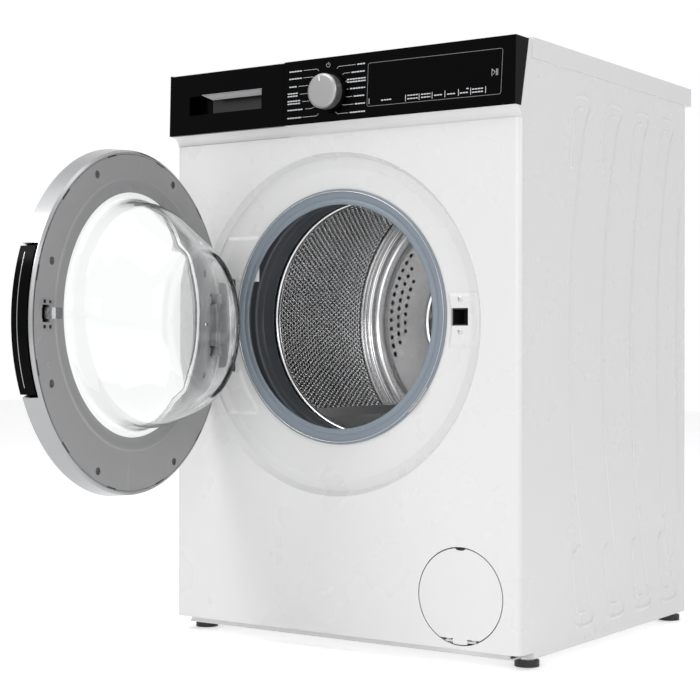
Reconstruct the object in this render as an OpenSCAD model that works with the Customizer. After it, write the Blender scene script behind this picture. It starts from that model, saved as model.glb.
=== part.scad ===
// Front loading washing machine at full size, in millimetres: X to the right, Y to the back, Z up.
// The origin is on the floor, under the middle of the machine's box with its door standing open.
// Inside the modules y = 0 is the flat of the front panel, and placed() moves that to the origin.

/* [Cabinet] */
// Width over the side panels
cab_w = 597; // [560:1:720]
// Depth from the front panel to the side panels' back edge
cab_d = 540; // [500:1:650]
// Height over the worktop
cab_h = 845; // [840:1:1020]
// Thickness of the sheet steel
sheet = 1; // [0.6:0.1:1.2]
// Width of the sheets' folded edges
fold = 18; // [14:1:22]
// Radius of the front panel's corners
corner_r = 10; // [6:1:16]
// How far the front panel wraps round the sides
wrap_d = 38.7; // [34:0.1:46]
// Height of the cabinet's underside above the floor
underside = 12.5; // [12:0.5:16]
// Height of the front panel's lower edge above the floor
panel_base = 21.4; // [20:0.1:30]

/* [Worktop] */
// Thickness of the worktop
top_t = 27.7; // [20:0.1:34]
// Distance of the worktop's nose behind the front panel
top_front = 29.8; // [28:0.1:34]
// Depth of the nose moulding
nose_d = 42.7; // [36:0.1:50]
// Overhang of the worktop behind the side panels
top_over = 21; // [18:1:30]
// Overhang of the worktop at each side
top_side = 1.5; // [0:0.1:3]

/* [Control panel] */
// Height of the control panel, worktop included
control_h = 109.5; // [105:0.5:120]
// Height of the hollow lip under the fascia
lip_h = 14.5; // [12:0.5:18]
// How far the fascia stands out at its lower edge
fascia_out = 16.5; // [15:0.5:20]
// Thickness of the fascia
fascia_t = 3.2; // [2.5:0.1:4]
// Place of the seam between the drawer and the fascia
drawer_seam = -82; // [-86:1:-70]
// Radius of the programme knob's grip
knob_r = 25; // [20:0.5:30]
// How far the knob stands out from the fascia
knob_out = 22; // [16:1:26]
// Radius of the knob's stem
stem_r = 3; // [2.5:0.5:4]

/* [Porthole and door] */
// Place of the porthole beside the machine's middle
porthole_x = -7.5; // [-12:0.5:0]
// Depth of the porthole's middle below the control panel
porthole_drop = 272.2; // [270:0.1:300]
// Radius of the round recess in the front panel
recess_r = 245.5; // [244:0.5:250]
// Depth of the recess
recess_d = 15; // [15:0.5:20]
// Radius of the hole that the gasket clips into
porthole_r = 177; // [176:0.5:180]
// Radius of the door ring at its back
ring_r = 236; // [232:0.5:237]
// Thickness of the door ring
ring_t = 28.8; // [26:0.1:32]
// How far the closed door's back plane lies behind the front panel
door_in = 10.5; // [8:0.5:11]
// Distance of the hinge pin from the porthole's middle
hinge_x = 221.5; // [219:0.5:222]
// Distance of the hinge pin in front of the front panel
hinge_y = 8; // [7:0.5:10]
// Radius of the hinge pins
pin_r = 4; // [3:0.5:5]
// Angle of the standing-open door from closed
door_open = 81.3; // [60:0.1:120]
// Radius of the glass where it leaves the door frame
glass_r = 166; // [160:0.5:168]
// Depth of the glass bowl behind the closed door
bowl_d = 110; // [90:1:120]
// Wall of the glass bowl
glass_t = 4; // [3:0.5:6]
// Half the height of the handle lever
handle_h = 94; // [80:1:100]

/* [Drum and tub] */
// How far the drum's axis lies above the door's
drum_rise = 11; // [6:1:14]
// Radius of the drum
drum_r = 240; // [200:1:242]
// Depth of the drum
drum_d = 335; // [300:1:340]
// Distance of the drum's front edge behind the front panel
drum_y = 96; // [94:1:100]
// Radius of the drum's mouth
mouth_r = 170; // [165:1:172]
// Gap between the drum and the tub
tub_gap = 14; // [10:1:16]
// Wall of the tub
tub_t = 4; // [3:0.5:5]
// Height of the drum's lifter ribs
lifter_h = 52; // [40:1:60]
// Radius of the shaft in its front bearing
shaft_r = 15; // [12:0.5:17]
// Radius of the shaft in its rear bearing
shaft_end_r = 12.5; // [10:0.5:14]
// Radius of the drum pulley
pulley_r = 150; // [120:1:155]
// Radius of the motor pulley
motor_pulley_r = 10; // [8:0.5:14]

/* [Drawer] */
// Width of the detergent tray
tray_w = 180; // [150:1:186]
// Depth of the detergent tray
tray_d = 217; // [180:1:230]
// Height of the detergent tray
tray_h = 50; // [40:1:52]

/* [Filter and feet] */
// Place of the filter cover beside the machine's middle
filter_x = 206; // [195:1:212]
// Height of the filter cover's middle
filter_z = 93.3; // [88:0.1:110]
// Radius of the filter cover
filter_r = 65.2; // [54:0.1:68]
// Distance of the feet from the side panels' outer faces
foot_in = 18.5; // [17:0.5:24]
// Radius of a foot's pad
foot_r = 17; // [14:0.5:18]
// Radius of a foot's threaded stem
foot_stem_r = 5; // [4:0.5:6]

/* [Clearances] */
// Radial clearance of every running shaft or pin
run_gap = 0.05; // [0.02:0.01:0.1]
// Gap round the pieces that open or slide
open_gap = 1.6; // [1:0.1:2]

/* [Hidden] */
$fn = 96;

half_w = cab_w / 2;
top_z = cab_h - top_t;                          // underside of the worktop
control_z = cab_h - control_h;                  // seam between the control panel and the front panel
porthole_z = control_z - porthole_drop;
drum_z = porthole_z + drum_rise;
top_back = cab_d + top_over;
eps = 0.01;                                     // how far a cut runs past a face

// Door: the hinge axis, and the middle of the door when it stands open
hinge_at = [porthole_x - hinge_x, -hinge_y];
door_front = door_in - ring_t;
ring_front_r = ring_r + 2.7;
door_far = -hinge_y - hinge_x * sin(door_open) + (door_in + hinge_y) * cos(door_open)
    - ring_front_r * sin(door_open) - ring_t * cos(door_open);
front_y = -(top_back + door_far) / 2;           // the front panel's place in the part's own frame

// Control panel
body_top = control_h - 3;                       // heights from here on are above the control panel's seam
fascia_low = lip_h + 0.1;
fascia_lean = 2.5;
knob_x = 1;
knob_up = 55.5;
tray_x = -188;                                  // middle of the drawer
tray_z = control_z + 20.5;

// Drum group, from front to back
tub_r = drum_r + tub_gap;
tub_front_y = 80;
tub_seam_y = 250;
drum_back_y = drum_y + drum_d;
tub_back_y = drum_back_y + 22;
hub_len = 46;
bearing_r = 31;
bearing_t = 16;
rear_bearing_r = 26;
rear_bearing_t = 15;
pulley_y = tub_back_y + 6 + hub_len;
pulley_t = 20;
motor_x = porthole_x + 130;
motor_z = 150;
motor_r = 58;
belt_t = 3;
belt_gap = 0.3;
belt_w = 14;

// Feet
foot_y = [52.5, cab_d - 19];
foot_pad_t = 8;
stem_top = 58;

// Moves a shape from the front panel's frame to the part's own frame
module placed() translate([0, front_y, 0]) children();

// Turns an upright shape so that its own Z runs to the back, round an axis at x, z
module about_y(x, z, y = 0) translate([x, y, z]) rotate([-90, 0, 0]) children();

// Draws a side outline, given as [y, z] from the control panel's seam, from x0 to x1
module along_x(x0, x1, z = control_z)
    translate([x0, 0, z]) rotate([90, 0, 90]) linear_extrude(height = x1 - x0) children();

// A tube whose axis runs to the back
module tube_y(x, z, y0, y1, outer, inner) about_y(x, z, y0) difference() {
    cylinder(h = y1 - y0, r = outer);
    translate([0, 0, -1]) cylinder(h = y1 - y0 + 2, r = inner);
}

// A rod whose axis runs to the back
module rod_y(x, z, y0, y1, r) about_y(x, z, y0) cylinder(h = y1 - y0, r = r);

// A box given by two corners
module block(a, b) translate(a) cube([b[0] - a[0], b[1] - a[1], b[2] - a[2]]);

// ---- Cabinet ----

seam_step = 1.1;                                // how much further back the control panel's side seam lies

// A folded side sheet: the outer skin, with its front, back and top edges turned in
module side_panel() difference() {
    block([half_w - fold, wrap_d, underside], [half_w, cab_d, top_z]);
    block([half_w - fold - 1, wrap_d + sheet, underside - 1],
        [half_w - sheet, cab_d - sheet, top_z - sheet]);
    block([half_w - fold - 1, wrap_d - 1, control_z], [half_w + 1, wrap_d + seam_step, top_z + 1]);
}

hook_z = drum_z + 224;                          // height of the springs' upper eyes
hook_r = 3;

// A tab on a side panel, with the pins that the springs hang from
module spring_hooks(s) for (y = spring_y) {
    rod_y(porthole_x + s * spring_x, hook_z, y - 2, y + 4.5, hook_r);
    x = porthole_x + s * spring_x;
    block([min(x - 5, s * (half_w - sheet)), y + 2.5, hook_z - 4],
        [max(x + 5, s * (half_w - sheet)), y + 4.5, hook_z + 6]);
}

module side_panel_left() placed() color("white") {
    mirror([1, 0, 0]) side_panel();
    spring_hooks(-1);
}

module side_panel_right() placed() color("white") {
    side_panel();
    spring_hooks(1);
}

// The plan of a block whose two front corners are round
module round_front(w, d, r) {
    translate([-w / 2, r]) square([w, d - r]);
    translate([r - w / 2, 0]) square([w - 2 * r, r + eps]);
    for (s = [-1, 1]) translate([s * (w / 2 - r), r]) circle(r);
}

module front_skin(h) linear_extrude(height = h) difference() {
    round_front(cab_w, wrap_d, corner_r);
    translate([0, sheet]) round_front(cab_w - 2 * sheet, wrap_d - 2 * sheet, corner_r - sheet);
    translate([fold - half_w, wrap_d / 2]) square([cab_w - 2 * fold, wrap_d]);
}

recess_wall = 6.6;                              // width of the recess's sloping wall
dish_r = recess_r - 22;                         // where the recess's floor becomes flat
slot_x = porthole_x + 204.8;
slot_z = porthole_z + 8.7;
slot_w = 26.5;
slot_h = 24;

module front_panel() placed() color("white") difference() {
    union() {
        difference() {
            translate([0, 0, panel_base]) front_skin(control_z - panel_base);
            rod_y(porthole_x, porthole_z, -1, recess_d, recess_r);
        }
        translate([0, 0, control_z - sheet]) linear_extrude(height = sheet) intersection() {
            round_front(cab_w, wrap_d, corner_r);
            translate([-half_w, 0]) square([cab_w, wrap_d - 10]);
        }
        about_y(porthole_x, porthole_z) rotate_extrude() polygon([
            [recess_r, 0], [recess_r, sheet], [recess_r - recess_wall, 10 + sheet],
                [dish_r, recess_d + sheet],
            [porthole_r - drum_rise - 4, recess_d + sheet], [porthole_r - drum_rise - 4, recess_d],
            [dish_r, recess_d], [recess_r - recess_wall, 10]
        ]);
    }
    rod_y(porthole_x, drum_z, recess_d - 1, recess_d + 3, porthole_r);
    rod_y(filter_x, filter_z, -1, 5, filter_r + open_gap);
    block([slot_x - slot_w / 2, recess_d - 2, slot_z - slot_h / 2],
        [slot_x + slot_w / 2, recess_d + 3, slot_z + slot_h / 2]);
}

transit_x = 190;
transit_z = [-165, 175];
transit_hole_r = 9;
cover_w = 330;
cover_h = 350;
cover_z = drum_z - 60;
valve_x = -215;
valve_z = control_z + 45;
outlet_x = 230;
outlet_z = 150;
gland_x = 235;
gland_z = control_z + 20;
gland_r = 9;

module rear_panel() placed() color("gainsboro") difference() {
    block([8 - half_w, cab_d, underside], [half_w - 8, cab_d + sheet, top_z - 1]);
    block([-cover_w / 2 + 15, cab_d - 1, cover_z - cover_h / 2 + 15],
        [cover_w / 2 - 15, cab_d + 3, cover_z + cover_h / 2 - 15]);
    for (x = [-1, 1], z = transit_z) rod_y(porthole_x + x * transit_x, drum_z + z, cab_d - 1, cab_d + 3,
        transit_hole_r);
    rod_y(valve_x, valve_z, cab_d - 1, cab_d + 3, 16);
    rod_y(outlet_x, outlet_z, cab_d - 1, cab_d + 3, 15);
    rod_y(gland_x, gland_z, cab_d - 1, cab_d + 3, gland_r);
}

// A pressed cover over the pulley, with its four screws
module rear_service_cover() placed() color("silver") {
    block([-cover_w / 2, cab_d + sheet, cover_z - cover_h / 2],
        [cover_w / 2, cab_d + 2 * sheet, cover_z + cover_h / 2]);
    block([-cover_w / 2 + 30, cab_d + 2 * sheet, cover_z - cover_h / 2 + 30],
        [cover_w / 2 - 30, cab_d + 2 * sheet + 5, cover_z + cover_h / 2 - 30]);
    for (x = [-1, 1], z = [-1, 1])
        rod_y(x * (cover_w / 2 - 8), cover_z + z * (cover_h / 2 - 8), cab_d + 2 * sheet,
            cab_d + 2 * sheet + 3, 4);
}

tray_t = 2.5;
boss_r = 12;

module at_feet() for (x = [-1, 1], y = foot_y) translate([x * (half_w - foot_in), y, 0]) children();

// Floor pan with a low wall, corner bosses for the feet and lugs for the dampers
module base_tray() placed() color("white") difference() {
    union() {
        block([sheet - half_w, wrap_d + 2, underside], [half_w - sheet, cab_d - sheet, underside + tray_t]);
        block([sheet + fold - half_w, 12, underside],
            [half_w - sheet - fold, wrap_d + 3, underside + tray_t]);
        for (s = [-1, 1]) translate([s * (half_w - sheet - tray_t / 2), 0, 0])
            block([-tray_t / 2, wrap_d + 3, underside], [tray_t / 2, cab_d - 3, 45]);
        block([fold + 4 - half_w, 12, underside], [half_w - fold - 4, 14.5, 45]);
        block([4 - half_w, cab_d - 5, underside], [half_w - 4, cab_d - 2, 45]);
        at_feet() cylinder(h = 45, r = boss_r);
        for (s = [-1, 1], y = [-1, 1])
            translate([s * damper_x, damper_y + y * 11, 0])
                block([-8, -2, underside], [8, 2, damper_low_z + 9]);
    }
    translate([-half_w, 0, -1]) cube([cab_w, cab_d, underside + 1]);
    at_feet() translate([0, 0, -1]) cylinder(h = 60, r = foot_stem_r + run_gap);
    for (s = [-1, 1]) rod_y(s * damper_x, damper_low_z, damper_y - 20, damper_y + 20, damper_pin_r);
    rod_y(filter_x, filter_z, 5, cup_d + 8, filter_r + 6);
}

// Two pressed bars that tie the side panels together under the worktop
module crossbars() placed() color("silver") {
    block([fold + 0.5 - half_w, 42, control_z + 1], [half_w - fold - 0.5, 72, control_z + 7]);
    block([fold + 0.5 - half_w, cab_d - 38, top_z - 18], [half_w - fold - 0.5, cab_d - 3, top_z - 2]);
}

module worktop() placed() color("white")
    block([-half_w - top_side + 3, top_front + nose_d, top_z], [half_w + top_side - 3, cab_d - 1, cab_h]);

// Nose moulding, side edgings and back moulding round the board
module worktop_trims() placed() color("whitesmoke") difference() {
    block([-half_w - top_side, top_front, top_z], [half_w + top_side, top_back, cab_h]);
    block([-half_w - top_side + 3, top_front + nose_d, top_z - 1],
        [half_w + top_side - 3, cab_d - 1, cab_h + 1]);
}

// ---- Control panel ----

// The hollow lip: a quarter wave from the seam, forwards and up to the fascia
function lip_curve(g = 0) = [for (i = [0 : 8]) let (t = i * 11.25)
    [1.5 - (fascia_out + 0.5) * (1 - cos(t)) + g, g + (lip_h - g) * sin(t)]];

fascia_side = [
    [-fascia_out, fascia_low], [fascia_lean - fascia_out, body_top],
    [fascia_lean - fascia_out + fascia_t, body_top], [fascia_t - fascia_out, fascia_low]
];

// The black end of the fascia, which runs back to a slanting line on the machine's side
module end_wedge(g = 0) polygon([
    [-fascia_out - 5 * g, fascia_low - g], [g, fascia_low - g], [21.5 + g, body_top + g],
        [fascia_lean - fascia_out - 5 * g, body_top + g]
]);

drawer_cut_y = -5;

// The hollow of the panel behind its front wall, whose lower corners are given
module panel_cavity(x0, x1, low) along_x(x0, x1) polygon(concat(low, [
    [low[len(low) - 1][0], body_top - 2.5], [top_front - 2.5, body_top - 2.5],
    [top_front - 2.5, control_h - top_t - 2.5], [wrap_d + 3, control_h - top_t - 2.5], [wrap_d + 3, 2.5]
]));

module control_panel() placed() color("white") difference() {
    union() {
        difference() {
            along_x(-half_w, half_w) polygon(concat(lip_curve(), [
                [fascia_t - fascia_out, fascia_low], [fascia_lean - fascia_out + fascia_t, body_top],
                [top_front, body_top], [top_front, control_h - top_t],
                [wrap_d + seam_step, control_h - top_t], [wrap_d + seam_step, 0]
            ]));
            panel_cavity(4.5 - half_w, drawer_seam, [[9, 2.5], [6.5, 12], [-2.5, 22]]);
            panel_cavity(drawer_seam + 2.5, half_w - 4.5, [[6, 2.5], [-8, lip_h + 1.5]]);
        }
        for (x = [-20, 277], z = [34, 88]) rod_y(x, control_z + z, -9, 2, 3);
    }
    along_x(-half_w - 1, drawer_seam + 0.6) polygon([
        [-30, -1], [5.5, -1], [5.5, 1.5], [3.7, 9.5], [drawer_cut_y, 19], [drawer_cut_y, body_top - 0.6],
            [-30, body_top - 0.6]
    ]);
    along_x(-half_w - 1, -half_w + 2.6) end_wedge(0.6);
    along_x(half_w - 2, half_w + 1) end_wedge();
    block([tray_x - tray_w / 2 - 7, drawer_cut_y - 2, control_z + 11.5],
        [tray_x + tray_w / 2 + 7, 0, control_z + 98.5]);
    block([62, -20, control_z + 32], [275, -5, control_z + 90]);
    rod_y(knob_x, control_z + knob_up, -20, -5, 9);
}

module fascia() placed() color("black") difference() {
    union() {
        along_x(drawer_seam + 0.5, half_w - 2) polygon(fascia_side);
        along_x(half_w - 2, half_w) end_wedge();
    }
    rod_y(knob_x, control_z + knob_up, -30, 0, 9);
}

module display_board() placed() color("darkgreen") {
    difference() {
        block([-25, 2, control_z + 28], [282, 3.6, control_z + 94]);
        rod_y(knob_x, control_z + knob_up, 0, 5, 6);
    }
    difference() {
        block([knob_x - 7, -7, control_z + knob_up - 7], [knob_x + 7, 2, control_z + knob_up + 7]);
        rod_y(knob_x, control_z + knob_up, -8, 1, stem_r + run_gap);
    }
    block([80, -3, control_z + 40], [255, 2, control_z + 82]);
}

knob_base = -fascia_out - 0.5;

module programme_knob() placed() color("black") {
    rod_y(knob_x, control_z + knob_up, knob_base - 4, knob_base, knob_r + 3);
    rod_y(knob_x, control_z + knob_up, knob_base - knob_out + 4, knob_base - 4, knob_r - 1.5);
    rod_y(knob_x, control_z + knob_up, knob_base, 0, stem_r);
}

module knob_cap() placed() color("silver") about_y(knob_x, control_z + knob_up, knob_base - knob_out)
    difference() {
    rotate_extrude() polygon([
        [0, 0], [knob_r - 2.5, 0], [knob_r, 2], [knob_r, knob_out - 5], [knob_r - 1.5, knob_out - 5],
            [knob_r - 1.5, 4], [0, 4]
    ]);
    translate([-0.8, -knob_r + 1, -1]) cube([1.6, 12, 2]);
}

// ---- Detergent drawer ----

grip_x = [tray_x - 72, tray_x + 65];
grip_z = [control_z + 43.5, control_z + 94.5];

module drawer_front() placed() color("black") difference() {
    union() {
        along_x(2 - half_w, drawer_seam - 0.1) polygon(concat(lip_curve(0.8), [
            [-fascia_out, lip_h], [fascia_lean - fascia_out, body_top - 1.4],
                [drawer_cut_y - 1, body_top - 1.4],
            [drawer_cut_y - 1, 17.5], [2.5, 8.5], [4.7, 0.8]
        ]));
        along_x(-half_w, 2 - half_w) end_wedge(-0.02);
        block([grip_x[0] - 2, drawer_cut_y - 2, grip_z[0] - 2], [grip_x[1] + 2, 8, grip_z[1] + 2]);
    }
    block([grip_x[0], drawer_cut_y - 5, grip_z[0]], [grip_x[1], 6, grip_z[1]]);
    block([grip_x[0], -30, grip_z[0]], [grip_x[1], drawer_cut_y, grip_z[0] + 28]);
}

module drawer_tray() placed() color("lightgray") difference() {
    block([tray_x - tray_w / 2, 8, tray_z], [tray_x + tray_w / 2, 8 + tray_d, tray_z + tray_h]);
    block([tray_x - tray_w / 2 + 2, 10, tray_z + 4],
        [tray_x - tray_w / 6, 6 + tray_d, tray_z + tray_h + 1]);
    block([tray_x - tray_w / 6 + 2, 10, tray_z + 4], [tray_x + tray_w / 5, 90, tray_z + tray_h + 1]);
    block([tray_x - tray_w / 6 + 2, 92, tray_z + 4],
        [tray_x + tray_w / 5, 6 + tray_d, tray_z + tray_h + 1]);
    block([tray_x + tray_w / 5 + 2, 10, tray_z + 4],
        [tray_x + tray_w / 2 - 2, 6 + tray_d, tray_z + tray_h + 1]);
}

module siphon_cap() placed() color("royalblue") {
    block([tray_x - tray_w / 6 + 2.5, 40, tray_z + tray_h - 8],
        [tray_x + tray_w / 5 - 0.5, 89.5, tray_z + tray_h - 5]);
    translate([tray_x + 2, 66, tray_z + 4]) cylinder(h = tray_h - 11, r = 8);
}

box_gap = 4;
box_x = [tray_x - tray_w / 2 - box_gap, tray_x + tray_w / 2 + box_gap];
box_z = [tray_z - 7, tray_z + tray_h + 6];
box_end = 8 + tray_d + 45;

fill_y = 165;                                   // where the dispenser empties into the filling hose
fill_r = 17;

// The box that the drawer runs in, with two rails under the tray
module dispenser_housing() placed() color("whitesmoke") {
    difference() {
        union() {
            block([box_x[0] - 2, 9.5, box_z[0] - 2], [box_x[1] + 2, box_end + 2, box_z[1] + 2]);
            translate([tray_x, fill_y, box_z[0] - 14]) cylinder(h = 14, r = fill_r);
            rod_y(valve_x, valve_z, box_end, box_end + 16, 9);
        }
        block([box_x[0], 8.5, box_z[0]], [box_x[1], box_end, box_z[1]]);
        translate([tray_x, fill_y, box_z[0] - 20]) cylinder(h = 25, r = fill_r - 3);
        rod_y(valve_x, valve_z, box_end - 5, box_end + 20, 6);
    }
    for (s = [-1, 1]) translate([tray_x + s * 60, 0, 0])
        block([-3, 14, box_z[0] - eps], [3, box_end - 20, tray_z - 0.3]);
}

// ---- Water ----

spigot_r = 13.2;
spigot_len = 15;

module inlet_valve() placed() color("whitesmoke") {
    difference() {
        union() {
            rod_y(valve_x, valve_z, cab_d - 4, cab_d + sheet + spigot_len, spigot_r);
            rod_y(valve_x, valve_z, cab_d - 8, cab_d - 0.5, 18);
        }
        rod_y(valve_x, valve_z, cab_d - 5, cab_d + 30, 9.5);
    }
    block([valve_x - 15, cab_d - 55, valve_z - 15], [valve_x + 15, cab_d - 8, valve_z + 15]);
    rod_y(valve_x, valve_z, cab_d - 75, cab_d - 55, 9);
    translate([valve_x, cab_d - 32, valve_z + 15]) cylinder(h = 3, r = 13);
}

hose_wall = 3;
sump_x = porthole_x + 60;
sump_y = 100;

// Feed from the valve, filling hose from the dispenser, sump hose to the pump and drain line to the back
module internal_hoses() placed() color("darkslategray") {
    tube_y(valve_x, valve_z, box_end + 2.3, cab_d - 60, 9.3 + hose_wall, 9.3);
    difference() {
        translate([tray_x, fill_y, drum_z])
            cylinder(h = box_z[0] - 2.4 - drum_z, r = fill_r + 0.3 + hose_wall);
        translate([tray_x, fill_y, drum_z - 1]) cylinder(h = 500, r = fill_r + 0.3);
        rod_y(porthole_x, drum_z, 80, 260, tub_r + tub_t + 0.3);
    }
    difference() {
        sump_run(15);
        sump_run(15 - hose_wall, 1);
        rod_y(porthole_x, drum_z, 60, 260, tub_r + tub_t + 0.3);
    }
    tube_y(outlet_x, outlet_z, drain_y + 10, cab_d - 2, outlet_r + 0.3 + hose_wall, outlet_r + 0.3);
}

// The sump hose's path: down from the tub, round a ball corner and across to the pump
module sump_run(r, more = 0) {
    translate([sump_x, sump_y, filter_z]) cylinder(h = drum_z - tub_r - filter_z + 20, r = r);
    translate([sump_x, sump_y, filter_z]) sphere(r);
    translate([sump_x, sump_y, filter_z]) rotate([0, 90, 0])
        cylinder(h = filter_x - pump_r - 0.5 - sump_x + more, r = r);
}

pump_r = 34;
cup_d = 30;
cover_t = 2.5;
cover_pin_r = 1.5;
cover_axis = [3.5, filter_z - filter_r + 3.9];  // y and z of the cover's hinge line

// The cup behind the filter cover, with two ears for the cover's hinge
module filter_recess() placed() color("whitesmoke") difference() {
    union() {
        tube_y(filter_x, filter_z, sheet, cup_d, filter_r + 5, filter_r + open_gap + 0.4);
        tube_y(filter_x, filter_z, cup_d - 2, cup_d, filter_r + 3, pump_r - 2);
        for (s = [-1, 1]) translate([filter_x + s * 20, 0, cover_axis[1]]) {
            block([-3, cover_axis[0], -0.8], [3, 10, 3]);
            block([-3, cover_axis[0] + 4.2, -5], [3, 10, 3]);
        }
    }
    translate([filter_x - 30, cover_axis[0], cover_axis[1]]) rotate([0, 90, 0])
        cylinder(h = 60, r = cover_pin_r + run_gap);
    block([filter_x - 30, -3, cover_axis[1] - 8], [filter_x + 30, cover_t + 0.5, cover_axis[1] + 5]);
    block([filter_x - 30, -3, cover_axis[1] - 8],
        [filter_x + 30, cover_axis[0] + 1.9, cover_axis[1] - 0.8]);
    block([filter_x - 16.5, sheet + 0.2, cover_axis[1] - 7], [filter_x + 16.5, 10, cover_axis[1] - 1]);
}

tongue_w = 22;                                  // width that the cover keeps down to its lowest edge
tongue_clear = 3.7;                             // height over the hinge line at which its two sides end

module filter_cover() placed() color("white") {
    difference() {
        rod_y(filter_x, filter_z, 0, cover_t, filter_r);
        for (s = [-1, 1]) translate([filter_x + s * (tongue_w / 2 + 20), 0, cover_axis[1] - 10])
            block([-20, -1, 0], [20, cover_t + 1, 10 + tongue_clear]);
    }
    block([filter_x - 15, cover_t - eps, cover_axis[1] - 1.5],
        [filter_x + 15, cover_axis[0] + 1.5, cover_axis[1] + 1.5]);
    translate([filter_x - 24, cover_axis[0], cover_axis[1]]) rotate([0, 90, 0])
        cylinder(h = 48, r = cover_pin_r);
    block([filter_x - 6, cover_t - eps, filter_z + filter_r - 10],
        [filter_x + 6, 9, filter_z + filter_r - 8]);
}

cap_r = 28;

// Screw cap with a finger bar, and the lint basket behind it
module pump_filter_cap() placed() color("slategray") {
    rod_y(filter_x, filter_z, 22, 40, cap_r);
    block([filter_x - 5, 9, filter_z - cap_r + 4], [filter_x + 5, 22.5, filter_z + cap_r - 4]);
    difference() {
        rod_y(filter_x, filter_z, 39, 92, cap_r - 6);
        rod_y(filter_x, filter_z, 42, 95, cap_r - 9);
        block([filter_x - 40, 50, filter_z - 12], [filter_x + 40, 86, filter_z + 12]);
    }
}

chamber_y = [cup_d + 79, cup_d + 103];          // front and back of the impeller's chamber
drain_y = chamber_y[1] - 6;                     // where the drain nozzle starts
nozzle_r = 11.7;

module drain_pump() placed() color("dimgray") difference() {
    union() {
        rod_y(filter_x, filter_z, cup_d, chamber_y[1] + 3, pump_r);
        rod_y(filter_x, filter_z, chamber_y[1] + 3, chamber_y[1] + 56, 27);
        rod_y(outlet_x, outlet_z, chamber_y[0] + 3, drain_y + 30, outlet_r);
        block([filter_x, chamber_y[0] + 3, filter_z + 10], [outlet_x + outlet_r, chamber_y[1], outlet_z]);
        translate([filter_x - pump_r - 14, sump_y, filter_z]) rotate([0, 90, 0])
            cylinder(h = 18, r = nozzle_r);
        block([filter_x - 24, 74, underside + tray_t], [filter_x + 24, 124, filter_z - pump_r + 8]);
    }
    rod_y(filter_x, filter_z, 20, chamber_y[0] + 1, cap_r + run_gap);
    rod_y(filter_x, filter_z, chamber_y[0], chamber_y[1], cap_r - 6);
    rod_y(filter_x, filter_z, chamber_y[1] - 1, chamber_y[1] + 31, impeller_pin_r + run_gap);
    rod_y(outlet_x, outlet_z, chamber_y[0] + 7, drain_y + 31, outlet_r - 3);
    translate([filter_x - pump_r - 15, sump_y, filter_z]) rotate([0, 90, 0])
        cylinder(h = 30, r = nozzle_r - 3);
}

impeller_pin_r = 3;

module pump_impeller() placed() color("whitesmoke") {
    rod_y(filter_x, filter_z, chamber_y[0] + 9, chamber_y[1] + 26, impeller_pin_r);
    rod_y(filter_x, filter_z, chamber_y[1] - 7, chamber_y[1] - 4, 19);
    for (a = [0 : 45 : 315]) translate([filter_x, 0, filter_z]) rotate([0, a, 0])
        block([0, chamber_y[0] + 9, -1], [19, chamber_y[1] - 7 + eps, 1]);
}

outlet_r = 11;

// The drain spigot and the power cord's gland, each with a flange against the rear panel
module rear_outlets() placed() color("dimgray") {
    difference() {
        union() {
            rod_y(outlet_x, outlet_z, cab_d - 30, cab_d + sheet + 18, outlet_r);
            rod_y(outlet_x, outlet_z, cab_d + sheet, cab_d + sheet + 3, 18);
        }
        rod_y(outlet_x, outlet_z, cab_d - 31, cab_d + 40, outlet_r - 3);
    }
    difference() {
        union() {
            rod_y(gland_x, gland_z, cab_d - 6, cab_d + sheet + 9, gland_r - 0.2);
            rod_y(gland_x, gland_z, cab_d + sheet, cab_d + sheet + 3, gland_r + 4);
        }
        rod_y(gland_x, gland_z, cab_d - 7, cab_d + 40, 4);
    }
}

// ---- Feet ----

module foot(x, y) placed() color("black") translate([x, y, 0]) {
    cylinder(h = foot_pad_t, r = foot_r);
    cylinder(h = stem_top, r = foot_stem_r);
}

module foot_front_left() foot(foot_in - half_w, foot_y[0]);
module foot_front_right() foot(half_w - foot_in, foot_y[0]);
module foot_rear_left() foot(foot_in - half_w, foot_y[1]);
module foot_rear_right() foot(half_w - foot_in, foot_y[1]);

module foot_locknuts() placed() color("silver") at_feet() translate([0, 0, foot_pad_t]) difference() {
    cylinder(h = underside - foot_pad_t, r = foot_stem_r * 1.9, $fn = 6);
    translate([0, 0, -1]) cylinder(h = 20, r = foot_stem_r + run_gap);
}

// ---- Door, drawn closed and turned open about its hinge ----

module door_pose() placed() translate([hinge_at[0], hinge_at[1], 0]) rotate([0, 0, -door_open])
    translate([-hinge_at[0], -hinge_at[1], 0]) children();

ear_z = [41, -41];                              // heights of the bracket's ears from the door's middle
ear_h = 16;
ear_reach = 24.5;                               // space that an ear sweeps round the hinge axis

// The slots that the bracket's ears swing through
module ear_space() for (z = ear_z)
    translate([hinge_at[0], hinge_at[1], porthole_z + z - ear_h / 2 - 1])
        cylinder(h = ear_h + 2, r = ear_reach);

handle_a = asin(handle_h / ring_front_r);
handle_in = 15;                                 // depth of the handle into the ring
lever_at = [porthole_x + sqrt(pow(ring_r - 5, 2) - pow(handle_h + 10, 2)), door_front + 5.5];
lever_pin_r = 2.5;

// A sector of the door, a wide, used for the handle and for its opening
module rim_sector(a, r0, r1, y0, y1) about_y(porthole_x, porthole_z, y0)
    rotate([0, 0, -a]) rotate_extrude(angle = 2 * a) translate([r0, 0]) square([r1 - r0, y1 - y0]);

module lever_lugs(r) for (s = [-1, 1]) translate([lever_at[0], lever_at[1],
    porthole_z + s * (handle_h + 8)])
    difference() {
        translate([-7, -3.4, -4]) cube([12, 14, 8]);
        translate([0, 0, -10]) cylinder(h = 20, r = r);
    }

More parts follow.
